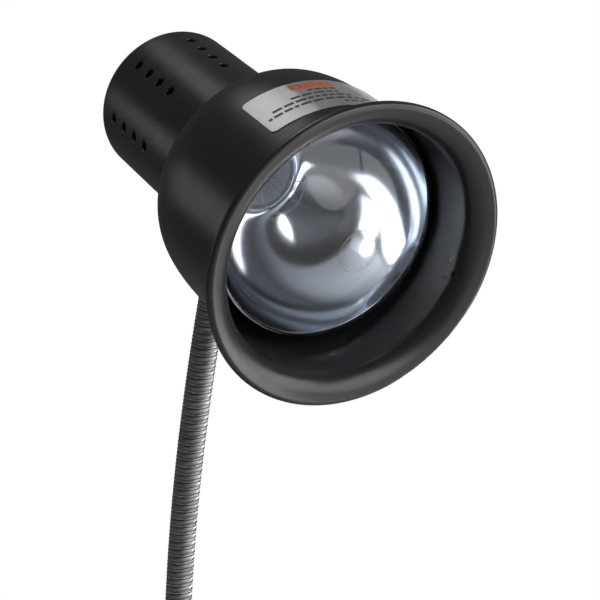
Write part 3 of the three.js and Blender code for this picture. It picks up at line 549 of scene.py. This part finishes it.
# ------ label
def label():
    """A blank foil label round the top of the bell, with rounded corners, plain bars and broken rules."""
    start, end = rad(136), rad(218.5)
    t_low, t_high = -69.5, -33
    radius, thick, corner = 71.5, 0.22, 3.0
    half, height = radius * (end - start) / 2, t_high - t_low
    middle = (start + end) / 2
    random.seed(4)
    orange, grey = 1, 2
    # Where a row starts and ends along the label, its two edges below the label's top, and its finish.
    rows = [(1, 25, 2.6, 8.6, orange), (2, 20, 11.2, 13.2, grey), (2, 31, 15.6, 17.6, grey),
            (-3, 46, 20.0, 22.2, grey), (-12, 48, 24.6, 26.8, grey), (-6, 9, 29.2, 31.2, grey)]
    bars = []
    for x, reach, y0, y1, which in rows:
        while x < reach - 2:
            width = 3.6 if which == orange else random.uniform(2.2, 6.5)
            bars.append((x, min(x + width, reach), height - y1, height - y0, which))
            x += width + (0.5 if which == orange else 1.1)
    xs = [-half + 2 * half * k / 64 for k in range(65)]
    ys = [height * k / 12 for k in range(13)]
    for k in range(1, 7):
        ys += [corner * k / 6, height - corner * k / 6]
    keep_x = sorted({v for bar in bars for v in bar[:2]} | {-half, half, -half + corner, half - corner})
    keep_y = sorted({v for bar in bars for v in bar[2:4]} | {0.0, height})
    xs = sorted({*keep_x, *(x for x in xs if min(abs(x - k) for k in keep_x) > 0.2)})
    ys = sorted({*keep_y, *(y for y in ys if min(abs(y - k) for k in keep_y) > 0.2)})

    def kind(x, y):
        for x0, x1, y0, y1, which in bars:
            if x0 < x < x1 and y0 < y < y1:
                return which
        return 0

    def inset(y):
        d = min(y, height - y)
        return 0 if d >= corner else corner - math.sqrt(corner ** 2 - (corner - d) ** 2)

    vertices, faces, kinds = [], [], []
    for layer in (radius + thick, radius + 0.02):
        for y in ys:
            cut = inset(y)
            for x in xs:
                if abs(x) > half - corner:
                    x = math.copysign(half - corner + (abs(x) - half + corner) * (corner - cut) / corner, x)
                a = middle + x / radius
                vertices.append((layer * math.cos(a), layer * math.sin(a), t_high - y))
    nx, ny = len(xs), len(ys)
    for j in range(ny - 1):
        for i in range(nx - 1):
            a = j * nx + i
            faces.append((a, a + 1, a + nx + 1, a + nx))
            kinds.append(kind((xs[i] + xs[i + 1]) / 2, (ys[j] + ys[j + 1]) / 2))
            b = a + nx * ny
            faces.append((b, b + nx, b + nx + 1, b + 1))
            kinds.append(0)
    rim = [*range(nx)] + [j * nx + nx - 1 for j in range(1, ny)]
    rim += [(ny - 1) * nx + i for i in range(nx - 2, -1, -1)] + [j * nx for j in range(ny - 2, 0, -1)]
    for a, b in zip(rim, rim[1:] + rim[:1]):
        faces.append((a, b, b + nx * ny, a + nx * ny))
        kinds.append(0)
    return solid("blank_label", vertices, faces, foil, HEAD, smooth=40, weld=1e-3,
                 also=(label_orange, label_grey), kinds=kinds)


finished(label(), "head", "foil_label")


# ------ bulb
BULB_RADIUS = 63.5
BULB_NECK_RADIUS = 19
GLASS = 1.0  # thickness
FACE_CURVE = 95
FACE_EDGE = 52  # radius where the face turns into its rounded edge
SEAM = 27  # from the top of the face to the edge of the silvering
BOWL_DEPTH = 74
BOWL_STEPS = 60


def face_profile():
    dome = math.degrees(math.asin(FACE_EDGE / FACE_CURVE))
    depth = FACE_CURVE * (1 - math.cos(rad(dome)))

    def skin(inset):
        curve = FACE_CURVE - inset
        points = [(curve * math.sin(rad(dome * k / 24)), -FACE_CURVE + curve * math.cos(rad(dome * k / 24)))
                  for k in range(25)]
        start, end = Vector(points[-1]), Vector((BULB_RADIUS - inset, -SEAM + GAP / 2))
        handle_a = start + Vector((math.cos(rad(dome)), -math.sin(rad(dome)))) * 6.5
        handle_b = end + Vector((0, 8))
        for k in range(1, 17):
            f = k / 16
            p = (start * (1 - f) ** 3 + handle_a * 3 * f * (1 - f) ** 2
                 + handle_b * 3 * f * f * (1 - f) + end * f ** 3)
            points.append(tuple(p))
        return points

    return skin(0) + skin(GLASS)[::-1]


face = lathe("bulb_clear_face", face_profile(), glass, BULB, 160, smooth=60)
finished(face, "bulb", "bulb_face")


def bowl_radius(behind):
    """Radius of the bulb at a distance behind the seam: a deep bowl that runs smoothly into its neck."""
    bowl = BULB_RADIUS * max(0, 1 - (behind / BOWL_DEPTH) ** 2.2) ** (1 / 1.3)
    return (bowl ** 6 + BULB_NECK_RADIUS ** 6) ** (1 / 6)


def reflector_profile():
    """(r, z) of a bowl with a neck: up the outside from the neck's end, then back down the inside."""
    behind = [(BOWL_DEPTH + 5) * (1 - k / BOWL_STEPS) ** 1.15 for k in range(BOWL_STEPS + 1)]
    outside = [(bowl_radius(d), -SEAM - d) for d in behind]
    inside = []
    for k, (r, z) in enumerate(outside):
        low, high = Vector(outside[max(0, k - 1)]), Vector(outside[min(BOWL_STEPS, k + 1)])
        along = (high - low).normalized() if 0 < k < BOWL_STEPS else Vector((0, 1))
        inside.append((r - GLASS * along.y, z + GLASS * along.x))
    return [*NECK_OUTSIDE, *outside, *inside[::-1], *NECK_INSIDE]


NECK_OUTSIDE = [(12.6, -138.5), (13.6, -138.5), (15, -134), (17.6, -130), (BULB_NECK_RADIUS, -126)]
NECK_INSIDE = [(BULB_NECK_RADIUS - GLASS, -126), (16.4, -130.4), (14, -134)]


def reflector_wave(r, z, a):
    """Blown glass is a little uneven, except in the neck."""
    if r < BULB_NECK_RADIUS + 1:
        return r
    return r + 0.3 * noise.noise(Vector((1.3 * math.cos(a), 1.3 * math.sin(a), z / 34)))


def reflector_finish(i):
    """Kind of the profile's i-th face: neck glass (1), the silvering's back (2) or the mirror inside (0)."""
    outside = len(NECK_OUTSIDE)
    inside_end = outside + 2 * BOWL_STEPS + 1
    if i < outside + 7 or i >= inside_end - 5:
        return 1
    return 2 if i < outside + BOWL_STEPS else 0


reflector = lathe("bulb_silvered_reflector", reflector_profile(), silvering, BULB, 160, smooth=60,
                  wobble=reflector_wave, also=(neck_glass, silvering_back), kind_of=reflector_finish)
finished(reflector, "bulb", "bulb_reflector")


def mark():
    """A plain printed ring with ticks, on the face."""
    centre_x, centre_y = 4.0, 5.3
    ring_in, ring_out = 11.7, 12.1
    tick_in, tick_out, tick_wide = 9.2, 10.9, 0.035
    places = 18
    vertices, faces = [], []

    def onto(x, y):
        curve = FACE_CURVE + 0.05
        return (x, y, -FACE_CURVE + math.sqrt(curve ** 2 - x ** 2 - y ** 2))

    def patch(radius_in, radius_out, start, end, steps):
        base = len(vertices)
        for k in range(steps + 1):
            a = start + (end - start) * k / steps
            for radius in (radius_in, radius_out):
                vertices.append(onto(centre_x + radius * math.cos(a), centre_y + radius * math.sin(a)))
        for k in range(steps):
            faces.append((base + 2 * k, base + 2 * k + 1, base + 2 * k + 3, base + 2 * k + 2))

    patch(ring_in, ring_out, 0, 2 * math.pi, 72)
    for k in range(places):
        if k % 6 == 5:
            continue
        for a in (2 * math.pi * k / places, 2 * math.pi * k / places + 0.13):
            patch(tick_in, tick_out, a, a + tick_wide, 1)
    return solid("bulb_ring_mark", vertices, faces, frost, BULB, smooth=60)


finished(mark(), "bulb", slot="bulb_glass")


def coil(centres, radius, turns, wire, sides, per_turn=14):
    """Points and faces of a wire coiled round a path."""
    path = [Vector(p) for p in centres]
    lengths = [0.0]
    for a, b in zip(path, path[1:]):
        lengths.append(lengths[-1] + (b - a).length)

    def along(f):
        """Point and direction at a fraction of the path's length."""
        d = f * lengths[-1]
        i = 0
        while d > lengths[i + 1] and i < len(path) - 2:
            i += 1
        g = (d - lengths[i]) / (lengths[i + 1] - lengths[i])
        return path[i].lerp(path[i + 1], g), (path[i + 1] - path[i]).normalized()

    count = int(turns * per_turn)
    spine = []
    for k in range(count + 1):
        point, tangent = along(k / count)
        side = Vector((0, 0, 1)).cross(tangent).normalized()
        up = tangent.cross(side)
        a = 2 * math.pi * turns * k / count
        spine.append(point + side * radius * math.cos(a) + up * radius * math.sin(a))
    return tube(spine, wire, sides)


def tube(spine, radius, sides):
    """Points and faces of a round wire along a list of points."""
    spine = [Vector(p) for p in spine]
    vertices, faces = [], []
    side = None
    for i, point in enumerate(spine):
        tangent = (spine[min(i + 1, len(spine) - 1)] - spine[max(i - 1, 0)]).normalized()
        if side is None:
            side = tangent.orthogonal().normalized()
        side = (side - tangent * side.dot(tangent)).normalized()
        up = tangent.cross(side)
        for k in range(sides):
            a = 2 * math.pi * k / sides
            vertices.append(point + (side * math.cos(a) + up * math.sin(a)) * radius)
    for i in range(len(spine) - 1):
        for k in range(sides):
            n = (k + 1) % sides
            faces.append((i * sides + k, i * sides + n, (i + 1) * sides + n, (i + 1) * sides + k))
    last = (len(spine) - 1) * sides
    faces.append(tuple(range(sides)))
    faces.append(tuple(last + k for k in range(sides)))
    return vertices, faces


def merged(*parts):
    vertices, faces = [], []
    for part_vertices, part_faces in parts:
        start = len(vertices)
        vertices += [tuple(v) for v in part_vertices]
        faces += [tuple(start + i for i in f) for f in part_faces]
    return vertices, faces


STEM_TOP = -92
stem_profile = rounded([(0, -156.2), (9.5, -156.2, 0.5), (9.5, -154.2, 1), (5, -142.2, 6), (3.6, -102, 8),
                        (3.2, STEM_TOP - 0.6, 1.6), (0, STEM_TOP)], 5)
stem = lathe("bulb_glass_stem", stem_profile, glass, BULB, 48, smooth=60)
finished(stem, "bulb", "bulb_stem")


def filament():
    """An open ring of coiled wire, held by two posts at its ends and three thin hooks between them."""
    ring, half_sweep, level, steps = 13, 115, -74, 24
    path = [Vector((*point, level)) for point in arc((0, 0), (ring, ring), -half_sweep, half_sweep, steps)]
    parts = [coil(path, 0.55, 48, 0.1, 6)]
    for side, end in ((-1, path[0]), (1, path[-1])):
        start = Vector((-1.2, side * 2.2, STEM_TOP + 0.3))
        elbow = Vector((-2, side * 5, -86))
        post = [start.lerp(elbow, k / 12).lerp(elbow.lerp(end, k / 12), k / 12) for k in range(13)]
        parts.append(tube(post, 0.24, 10))
    for side, tip in zip((-1, 0, 1), (path[6], path[12], path[18])):
        start = Vector((0.6, 0.6 * side, STEM_TOP - 0.2))
        elbow = (Vector((3, 0, -86)) + tip) / 2
        parts.append(tube([start, elbow, tip], 0.12, 6))
    vertices, faces = merged(*parts)
    return solid("bulb_coiled_filament", vertices, faces, tungsten, BULB, smooth=60, weld=1e-5)


finished(filament(), "bulb", "bulb_filament")


def screw_shell():
    """The bulb's brass base: rounded rings, alternately proud and sunk, for its thread."""
    rear, front, inside = -159.5, -139.5, 11.4
    proud, sunk, half_pitch, steps = 13.2, 12.3, 2.9, 6
    rings = [(proud if k % 2 else sunk, rear + 1 + k * half_pitch) for k in range(7)]
    thread = []
    for (r0, z0), (r1, z1) in zip(rings, rings[1:]):
        for k in range(steps):
            f = k / steps
            thread.append((r0 + (r1 - r0) * (1 - math.cos(math.pi * f)) / 2, z0 + (z1 - z0) * f))
    profile = [(inside, rear), (12, rear), *thread, rings[-1], (12.9, front), (inside, front)]
    return lathe("bulb_screw_shell", profile, brass, BULB, 64, smooth=60)


finished(screw_shell(), "bulb", "bulb_base_shell")


# ------ gooseneck
NECK_PITCH = 4.9
NECK_STEPS = 18  # rows of points in one pitch
NECK_SIDES = 48
NECK_FOOT = 10.4  # the tube's lower end above the base's top
NECK_TOP_DEPTH = 8.6  # and its upper end below the point where the neck meets the head
NECK_SEGMENTS = 8
SEGMENT = (NECK_LENGTH - NECK_TOP_DEPTH - NECK_FOOT) / NECK_SEGMENTS


def neck_at(distance):
    """Centre and lean at a distance above the base's top."""
    x = max(0.0, min(distance / NECK_STEP, len(NECK_POINTS) - 1.001))
    i = int(x)
    f = x - i
    return NECK_POINTS[i].lerp(NECK_POINTS[i + 1], f), NECK_LEANS[i] * (1 - f) + NECK_LEANS[i + 1] * f


def rib(phase):
    """Radius of the tube over one pitch: a narrow round wire, then the flatter one between its turns."""
    narrow = 0.3
    if phase < narrow:
        x, crown, power = phase / narrow * 2 - 1, 0.95, 2.0
    else:
        x, crown, power = (phase - narrow) / (1 - narrow) * 2 - 1, 0.8, 3.4
    return 7.45 + crown * (1 - abs(x) ** power)


RIB = [rib(k / NECK_STEPS) for k in range(NECK_STEPS)]
# The rows at the bottom of each groove, where one wire meets the next, take the dark finish of painted shade.
WIRE, RIDGE, GROOVE_SHADE = 0, 1, 2
RIB_FINISH = [GROOVE_SHADE] + [WIRE] * 4 + [GROOVE_SHADE] + [RIDGE] * (NECK_STEPS - 7) + [GROOVE_SHADE]


def neck_piece(name, first, last):
    """Turns of the wound tube between two row counts, which follow the winding."""
    vertices, faces, kinds = [], [], []
    for i in range(first, last + 1):
        for j in range(NECK_SIDES + 1):
            distance = NECK_FOOT + (i / NECK_STEPS + j / NECK_SIDES) * NECK_PITCH
            centre, lean = neck_at(distance)
            a = 2 * math.pi * j / NECK_SIDES
            across = Vector((math.cos(lean), 0, -math.sin(lean)))
            radius = RIB[i % NECK_STEPS]
            vertices.append(centre + across * radius * math.cos(a) + Vector((0, 1, 0)) * radius * math.sin(a))
    n = NECK_SIDES + 1
    for i in range(last - first):
        for j in range(NECK_SIDES):
            a = i * n + j
            faces.append((a, a + 1, a + n + 1, a + n))
            kinds.append(RIB_FINISH[(first + i) % NECK_STEPS])
    return solid(name, vertices, faces, neck_steel, smooth=75, also=(neck_ridge, neck_groove_shade), kinds=kinds)


def neck_row(segments, offset=0.0):
    """The row of points nearest to a count of segments up the tube, or that much further."""
    return round((SEGMENT * segments + offset) / NECK_PITCH * NECK_STEPS)


# Each piece of the winding runs over one hinge, from the middle of a segment to the middle of the next.
cuts = [0]
for k in range(1, NECK_SEGMENTS - 1):
    cuts.append(neck_row(k + 0.5, -NECK_PITCH / 2))
cuts.append(neck_row(NECK_SEGMENTS) - NECK_STEPS)
for k in range(NECK_SEGMENTS - 1):
    winding = neck_piece(f"neck_winding_{k + 1}", cuts[k], cuts[k + 1])
    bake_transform(winding)
    last = NECK_SEGMENTS if k == NECK_SEGMENTS - 2 else k + 1
    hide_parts(*(f"neck_segment_{n}" for n in range(k + 1, last + 1)))


def ferrule_profile(stem_length, cup_floor, cup_top):
    """A bored stem under a cup that grips the neck's end, with a groove round its waist."""
    outside, bore = 11.0, 9.2
    stem_radius, wire_hole = STEM_HOLE - GAP, 3.3
    return rounded([(wire_hole, -stem_length, 0.2), (stem_radius, -stem_length, 0.5), (stem_radius, 0),
                    (outside, 0, 0.5), (outside, 4.2, 0.25), (outside - 0.5, 4.7, 0.2),
                    (outside - 0.5, 5.5, 0.2), (outside, 6.0, 0.25), (outside, cup_top - 0.9, 0.7),
                    (outside - 0.9, cup_top, 0.4), (bore, cup_top, 0.35), (bore, cup_floor, 0.2),
                    (wire_hole, cup_floor)])


STEM_HOLE = 5.3
COLLAR = 4  # its height
collar_seat = BASE_TOP + GAP
collar_profile = rounded([(STEM_HOLE, 0), (20, 0, 0.3), (20, 1.4, 0.5), (17.4, COLLAR, 1.2),
                          (STEM_HOLE, COLLAR)], 6)
lower_seat = collar_seat + COLLAR + GAP
lower = lathe("neck_lower_ferrule", ferrule_profile(14.6, 5.5, 23.8), black_coat, at(NECK_X, 0, lower_seat))
finished(lower, "base", "lower_ferrule")
collar = lathe("neck_base_collar", collar_profile, black_coat, at(NECK_X, 0, collar_seat), 128)
finished(collar, "base", "neck_collar")

SADDLE_TOP = 49.3  # from the head's axis
upper_place = HEAD @ at(SADDLE_TOP + GAP, 0, ATTACH_T) @ turn("Y", 90)
upper = lathe("neck_upper_ferrule", ferrule_profile(13, 4.2, 22.2), black_coat, upper_place)
finished(upper, "head", "upper_ferrule")


def saddle():
    """A round puck whose inner face fits the housing's curve."""
    skin, radius, count = HOUSING_RADIUS + GAP, 12, 96
    # Round the puck's section: how far from its own axis, whether from the flat top, and how far from that.
    section = [(STEM_HOLE, False, 0), (radius - 0.45, False, 0), (radius, False, 0.25), (radius, True, -0.45),
               (radius - 0.13, True, -0.13), (radius - 0.45, True, 0), (STEM_HOLE, True, 0)]
    vertices = []
    for j in range(count):
        a = 2 * math.pi * j / count
        for reach, from_top, offset in section:
            y, z = reach * math.cos(a), reach * math.sin(a)
            face = SADDLE_TOP if from_top else math.sqrt(skin ** 2 - y ** 2)
            vertices.append((face + offset, y, z))
    faces = ring_faces(count, len(section), closed=True)
    return solid("neck_saddle_puck", vertices, faces, black_coat, HEAD @ at(z=ATTACH_T))


finished(saddle(), "head", "neck_saddle")


# ------ base
BASE_RADIUS = 114.3
SWITCH_X = 60
GLAND_Z = 11.5
SCREW_REACH = 53.7
SCREW_SPOTS = [(x * SCREW_REACH, y * SCREW_REACH) for x, y in ((1, 1), (-1, 1), (-1, -1), (1, -1))]


def base_cover():
    """The spun cover: a rolled lower edge, an upright side, a rounded shoulder and a level top."""
    run, rise, sheet = 34.3, 12.0, 1.5
    top, inner = BASE_TOP, BASE_RADIUS - sheet
    shoulder = (BASE_RADIUS - run, top - rise)
    outside = arc(shoulder, (run, rise), 0, 90, 40)
    inside = arc(shoulder, (run - sheet, rise - sheet), 90, 0, 24)
    rolled = arc((BASE_RADIUS - 1.2, 3.5), (0.9, 1.2), 250, 360, 6)
    profile = [(inner, 2.6), *rolled, (BASE_RADIUS, 4.4), (BASE_RADIUS, 9), (BASE_RADIUS, 14), *outside,
               (60, top), (40, top), (20, top), (0, top), (0, top - sheet), *inside, (inner, 9), (inner, 4)]
    cover = lathe("base_cover", profile, black_coat, sides=224, smooth=30)
    gland_place = at(-BASE_RADIUS, 0, GLAND_Z) @ turn("Y", 90)
    cutters = [
        extrude("stem_hole", circle(STEM_HOLE, 48), top - 3, top + 2, black_coat, at(NECK_X)),
        extrude("switch_hole", rounded_box(27, 13, 0.8), top - 3, top + 2, black_coat, at(SWITCH_X)),
        extrude("gland_hole", circle(5.1, 48), -5, 5, black_coat, gland_place),
    ]
    return carve(cover, *cutters)


def screw_holes(radius, low, high, finish, sides):
    return [extrude("hole", circle(radius, sides), low, high, finish, at(x, y)) for x, y in SCREW_SPOTS]


finished(base_cover(), "base", "base_shell")
plate_profile = rounded([(0, 2.3), (111.5, 2.3, 0.4), (111.5, 3.8, 0.4), (0, 3.8)])
plate = lathe("base_bottom_plate", plate_profile, zinc, sides=160)
carve(plate, *screw_holes(1.8, 1, 5, zinc, 24))
finished(plate, "base", "bottom_plate")


def pad():
    """The rubber pad: rounded edge and fine rings underneath."""
    profile = [(0, 0.35)]
    radius = 6.0
    while radius < 104:
        profile += [(radius - 0.7, 0.35), (radius - 0.4, 0), (radius + 3.4, 0), (radius + 3.7, 0.35)]
        radius += 5.2
    profile += [(105.4, 0.35), (105.7, 0), (107.2, 0), (107.75, 0.2), (108, 0.7), (108, 1.5), (107.8, 1.85),
                (107.3, 2), (0, 2)]
    return lathe("base_rubber_pad", profile, rubber, sides=160, smooth=30)


rubber_pad = pad()
carve(rubber_pad, *screw_holes(4.8, -1, 3, rubber, 32))
finished(rubber_pad, "base", "base_pad")
for i, (x, y) in enumerate(SCREW_SPOTS):
    screw(f"base_fixing_{i + 1}", f"base_screw_{i + 1}", 4, 1.6, 1.5, 22, "base", zinc,
          at(x, y, 2.0) @ turn("X", 180) @ turn("Z", 17 + 31 * i))


def gland_grip(r, z, a):
    """Twelve shallow finger grooves round the gland's collar."""
    return r - 0.22 * max(0.0, math.cos(12 * a)) if r > 6.5 and z < -0.6 else r


gland_profile = rounded([(3.6, -9, 0.5), (6.2, -9, 0.5), (7.4, -7.6, 0.6), (8, -2, 0.3), (8, 0, 0.2),
                         (4.8, 0), (4.8, 11, 0.4), (3.6, 11, 0.3)])
gland = lathe("cord_gland_bush", gland_profile, black_plastic,
              at(-BASE_RADIUS - GAP, 0, GLAND_Z) @ turn("Y", 90), 64, wobble=gland_grip)
finished(gland, "base", "cord_gland")

# ------ rocker switch
SWITCH = at(SWITCH_X)
WELL_FLOOR = 24.8
ROCKER = at(SWITCH_X, 0, 29.8) @ turn("Y", -12)
ROCKER_HALF = 11.0


def well():
    """The pocket that the rocker sits in, to be cut from the switch's body and bezel."""
    return extrude("well", rounded_box(24, 10.4, 0.6), WELL_FLOOR, 40, black_plastic, SWITCH)


bezel = extrude("switch_bezel", rounded_box(30.4, 16, 1.8), BASE_TOP + GAP, 31.8, black_plastic, SWITCH,
                bevel=0.5)
carve(bezel, well())
finished(bezel, "base")
block = extrude("switch_block", rounded_box(26.4, 12.4, 0.6), 14, 30.5, black_plastic, SWITCH, bevel=0.3)
blade_slots = [extrude("slot", rounded_box(1.4, 6.9, 0.1, 1), 10, 17, black_plastic, SWITCH @ at(x))
               for x in (-6, 6)]
carve(block, well(), *blade_slots)
finished(block, "base", "switch_body")


def rocker_top(x):
    """Height of the rocker's shallow dished top."""
    return 2.1 + 1.1 * (x / ROCKER_HALF) ** 2


def rocker():
    """A paddle with a shallow dished top and rounded edges, in the off position."""
    half, steps = ROCKER_HALF, 24
    across = [half - 2 * half * k / steps for k in range(steps + 1)]
    outline = [(-half, 0.6), (-half + 1.8, -1.4), (0, -3.8), (half - 1.8, -1.4), (half, 0.6),
               *((x, rocker_top(x)) for x in across)]
    place = ROCKER @ turn("X", 90)
    paddle = extrude("switch_paddle", outline, -4.7, 4.7, rocker_plastic, place, bevel=0.45)
    return carve(paddle, extrude("bore", circle(1.3, 24), -10, 10, rocker_plastic, place))


finished(rocker(), "rocker", "switch_rocker")


def rocker_mark(name, inside, outside, centre_x, closed):
    """A raised mark between two outlines, that follows the rocker's top."""
    vertices, faces = [], []
    n = len(inside)
    for lift in (0.16, -0.1):
        for pair in zip(inside, outside):
            for x, y in pair:
                vertices.append((centre_x + x, y, rocker_top(centre_x + x) + lift))
    for j in range(n if closed else n - 1):
        k = (j + 1) % n
        a, b, c, d = 2 * j, 2 * j + 1, 2 * k + 1, 2 * k
        faces += [(a, b, c, d), (a + 2 * n, d + 2 * n, c + 2 * n, b + 2 * n),
                  (a, d, d + 2 * n, a + 2 * n), (b, b + 2 * n, c + 2 * n, c)]
    if not closed:
        for j in (0, n - 1):
            faces.append((2 * j, 2 * j + 1, 2 * j + 1 + 2 * n, 2 * j + 2 * n))
    return solid(name, vertices, faces, white_mark, ROCKER, smooth=40)


ring_mark = rocker_mark("rocker_mark_ring", circle(1.25, 40), circle(1.75, 40), 6.0, closed=True)
finished(ring_mark, "rocker", slot="rocker_plastic")
bar_sides = [[(x, -1.7 + 3.4 * k / 8) for k in range(9)] for x in (-0.25, 0.25)]
bar_mark = rocker_mark("rocker_mark_bar", *bar_sides, -6.0, closed=False)
finished(bar_mark, "rocker", slot="rocker_plastic")

# ------ carried-over pieces
CARRIED = {
    iron: ["base_weight"],
    black_plastic: ["gland_nut", "bulb_insulator"],
    black_wire: ["line_lead", "switched_lead", "head_lead_1"],
    white_wire: ["neutral_lead", "head_lead_2"],
    green_wire: ["earth_lead"],
    porcelain: ["socket_body"],
    brass: ["switch_blade_1", "switch_blade_2", "socket_shell", "socket_contact", "terminal_screw_1",
            "terminal_screw_2"],
    zinc: ["earth_screw", "rocker_pin", "lower_lock_nut", "upper_lock_nut", "socket_bracket",
           "socket_screw_1", "socket_screw_2", "bulb_contact"],
}
for finish, name in [(finish, name) for finish, names in CARRIED.items() for name in names]:
    node = frame["nodes"][name]
    node.data.materials.clear()
    node.data.materials.append(finish.material)
    soften = node.modifiers.new("soften", "BEVEL")
    soften.width = 0.00025
    soften.segments = 2
    soften.limit_method = "ANGLE"
    soften.angle_limit = rad(35)
    soften.harden_normals = True


# ------ stage
def disc(name, radius, z, sides=128):
    mesh = bpy.data.meshes.new(name)
    mesh.from_pydata([(x, y, z) for x, y in circle(radius, sides)], [], [tuple(range(sides))])
    obj = bpy.data.objects.new(name, mesh)
    scene.collection.objects.link(obj)
    return obj


FLOOR_RADIUS = 9.0
floor = disc("floor", FLOOR_RADIUS, -GAP * MM)
floor_finish = Finish("floor_paper", (0.74, 0.74, 0.75), 0.6)
floor_finish.vary_roughness(3, 0.05)
floor.data.materials.append(floor_finish.material)


def far_paper():
    """White that covers the floor more and more, away from the lamp."""
    material = bpy.data.materials.new("far_paper")
    material.use_nodes = True
    nodes, links = material.node_tree.nodes, material.node_tree.links
    nodes.clear()
    where = nodes.new("ShaderNodeTexCoord")
    distance = nodes.new("ShaderNodeVectorMath")
    distance.operation = "LENGTH"
    links.new(where.outputs["Object"], distance.inputs[0])
    fade = add(nodes, "MapRange", From_Min=0.05, From_Max=0.85, To_Min=0.62)
    fade.interpolation_type = "SMOOTHSTEP"
    links.new(distance.outputs["Value"], fade.inputs["Value"])
    clear = nodes.new("ShaderNodeBsdfTransparent")
    white = nodes.new("ShaderNodeEmission")
    mix = nodes.new("ShaderNodeMixShader")
    links.new(fade.outputs["Result"], mix.inputs["Fac"])
    links.new(clear.outputs["BSDF"], mix.inputs[1])
    links.new(white.outputs["Emission"], mix.inputs[2])
    output = nodes.new("ShaderNodeOutputMaterial")
    links.new(mix.outputs["Shader"], output.inputs["Surface"])
    return material


# Far from the lamp the paper fades into the white behind it, as it does in a studio.
haze = disc("far_paper", FLOOR_RADIUS, 0.0)
haze.data.materials.append(far_paper())
haze.visible_diffuse = haze.visible_glossy = haze.visible_transmission = haze.visible_shadow = False


def studio():
    """A dim grey room round the lamp, with a white backdrop behind it."""
    world = bpy.data.worlds.new("studio")
    world.use_nodes = True
    nodes, links = world.node_tree.nodes, world.node_tree.links
    nodes.clear()
    backdrop = add(nodes, "Background", Color=(1, 1, 1, 1))
    room = add(nodes, "Background", Color=(0.086, 0.090, 0.097, 1))
    seen = nodes.new("ShaderNodeLightPath")
    mix = nodes.new("ShaderNodeMixShader")
    links.new(seen.outputs["Is Camera Ray"], mix.inputs["Fac"])
    links.new(room.outputs["Background"], mix.inputs[1])
    links.new(backdrop.outputs["Background"], mix.inputs[2])
    output = nodes.new("ShaderNodeOutputWorld")
    links.new(mix.outputs["Shader"], output.inputs["Surface"])
    return world


scene.world = studio()
HEAD_MIDDLE = Vector((0.12, 0, 0.47))


def softbox(name, azimuth, elevation, distance, wide, tall, watts):
    """An oval area light that shines at the head, from a turn about Z and a height, both in degrees."""
    light = bpy.data.lights.new(name, "AREA")
    light.shape = "ELLIPSE"
    light.size, light.size_y = wide, tall
    light.energy = watts
    towards = turn("Z", azimuth) @ turn("Y", -elevation) @ Vector((1, 0, 0))
    obj = bpy.data.objects.new(name, light)
    scene.collection.objects.link(obj)
    obj.location = HEAD_MIDDLE + towards * distance
    obj.rotation_mode = "QUATERNION"
    obj.rotation_quaternion = towards.to_track_quat("Z", "Y")
    obj.visible_camera = False
    return obj


softbox("key", 15, 10, 1.1, 0.8, 1.15, 7.0)
softbox("side_key", 57, 8, 1.1, 0.8, 1.15, 7.0)
softbox("top", -105, 72, 1.1, 0.45, 0.45, 2.4)
softbox("top_back", -170, 60, 1.1, 0.4, 0.4, 0.45)
softbox("rim", -142, 9, 1.1, 0.36, 0.36, 0.3)
low_front = softbox("low_front", 50, -28, 0.75, 0.3, 0.3, 0.9)
kicker = softbox("kicker", 108, -33, 0.67, 0.22, 0.22, 2.0)

# The low softboxes light the head and the neck, and leave no pool of light on the floor or the base.
BASE_PIECES_BELOW = 0.07
not_from_below = bpy.data.collections.new("not_from_below")
bpy.context.view_layer.update()
for obj in scene.objects:
    if obj.type != "MESH":
        continue
    if max((obj.matrix_world @ Vector(corner)).z for corner in obj.bound_box) < BASE_PIECES_BELOW:
        not_from_below.objects.link(obj)
for member in not_from_below.collection_objects:
    member.light_linking.link_state = "EXCLUDE"
for obj in (low_front, kicker):
    obj.light_linking.receiver_collection = not_from_below
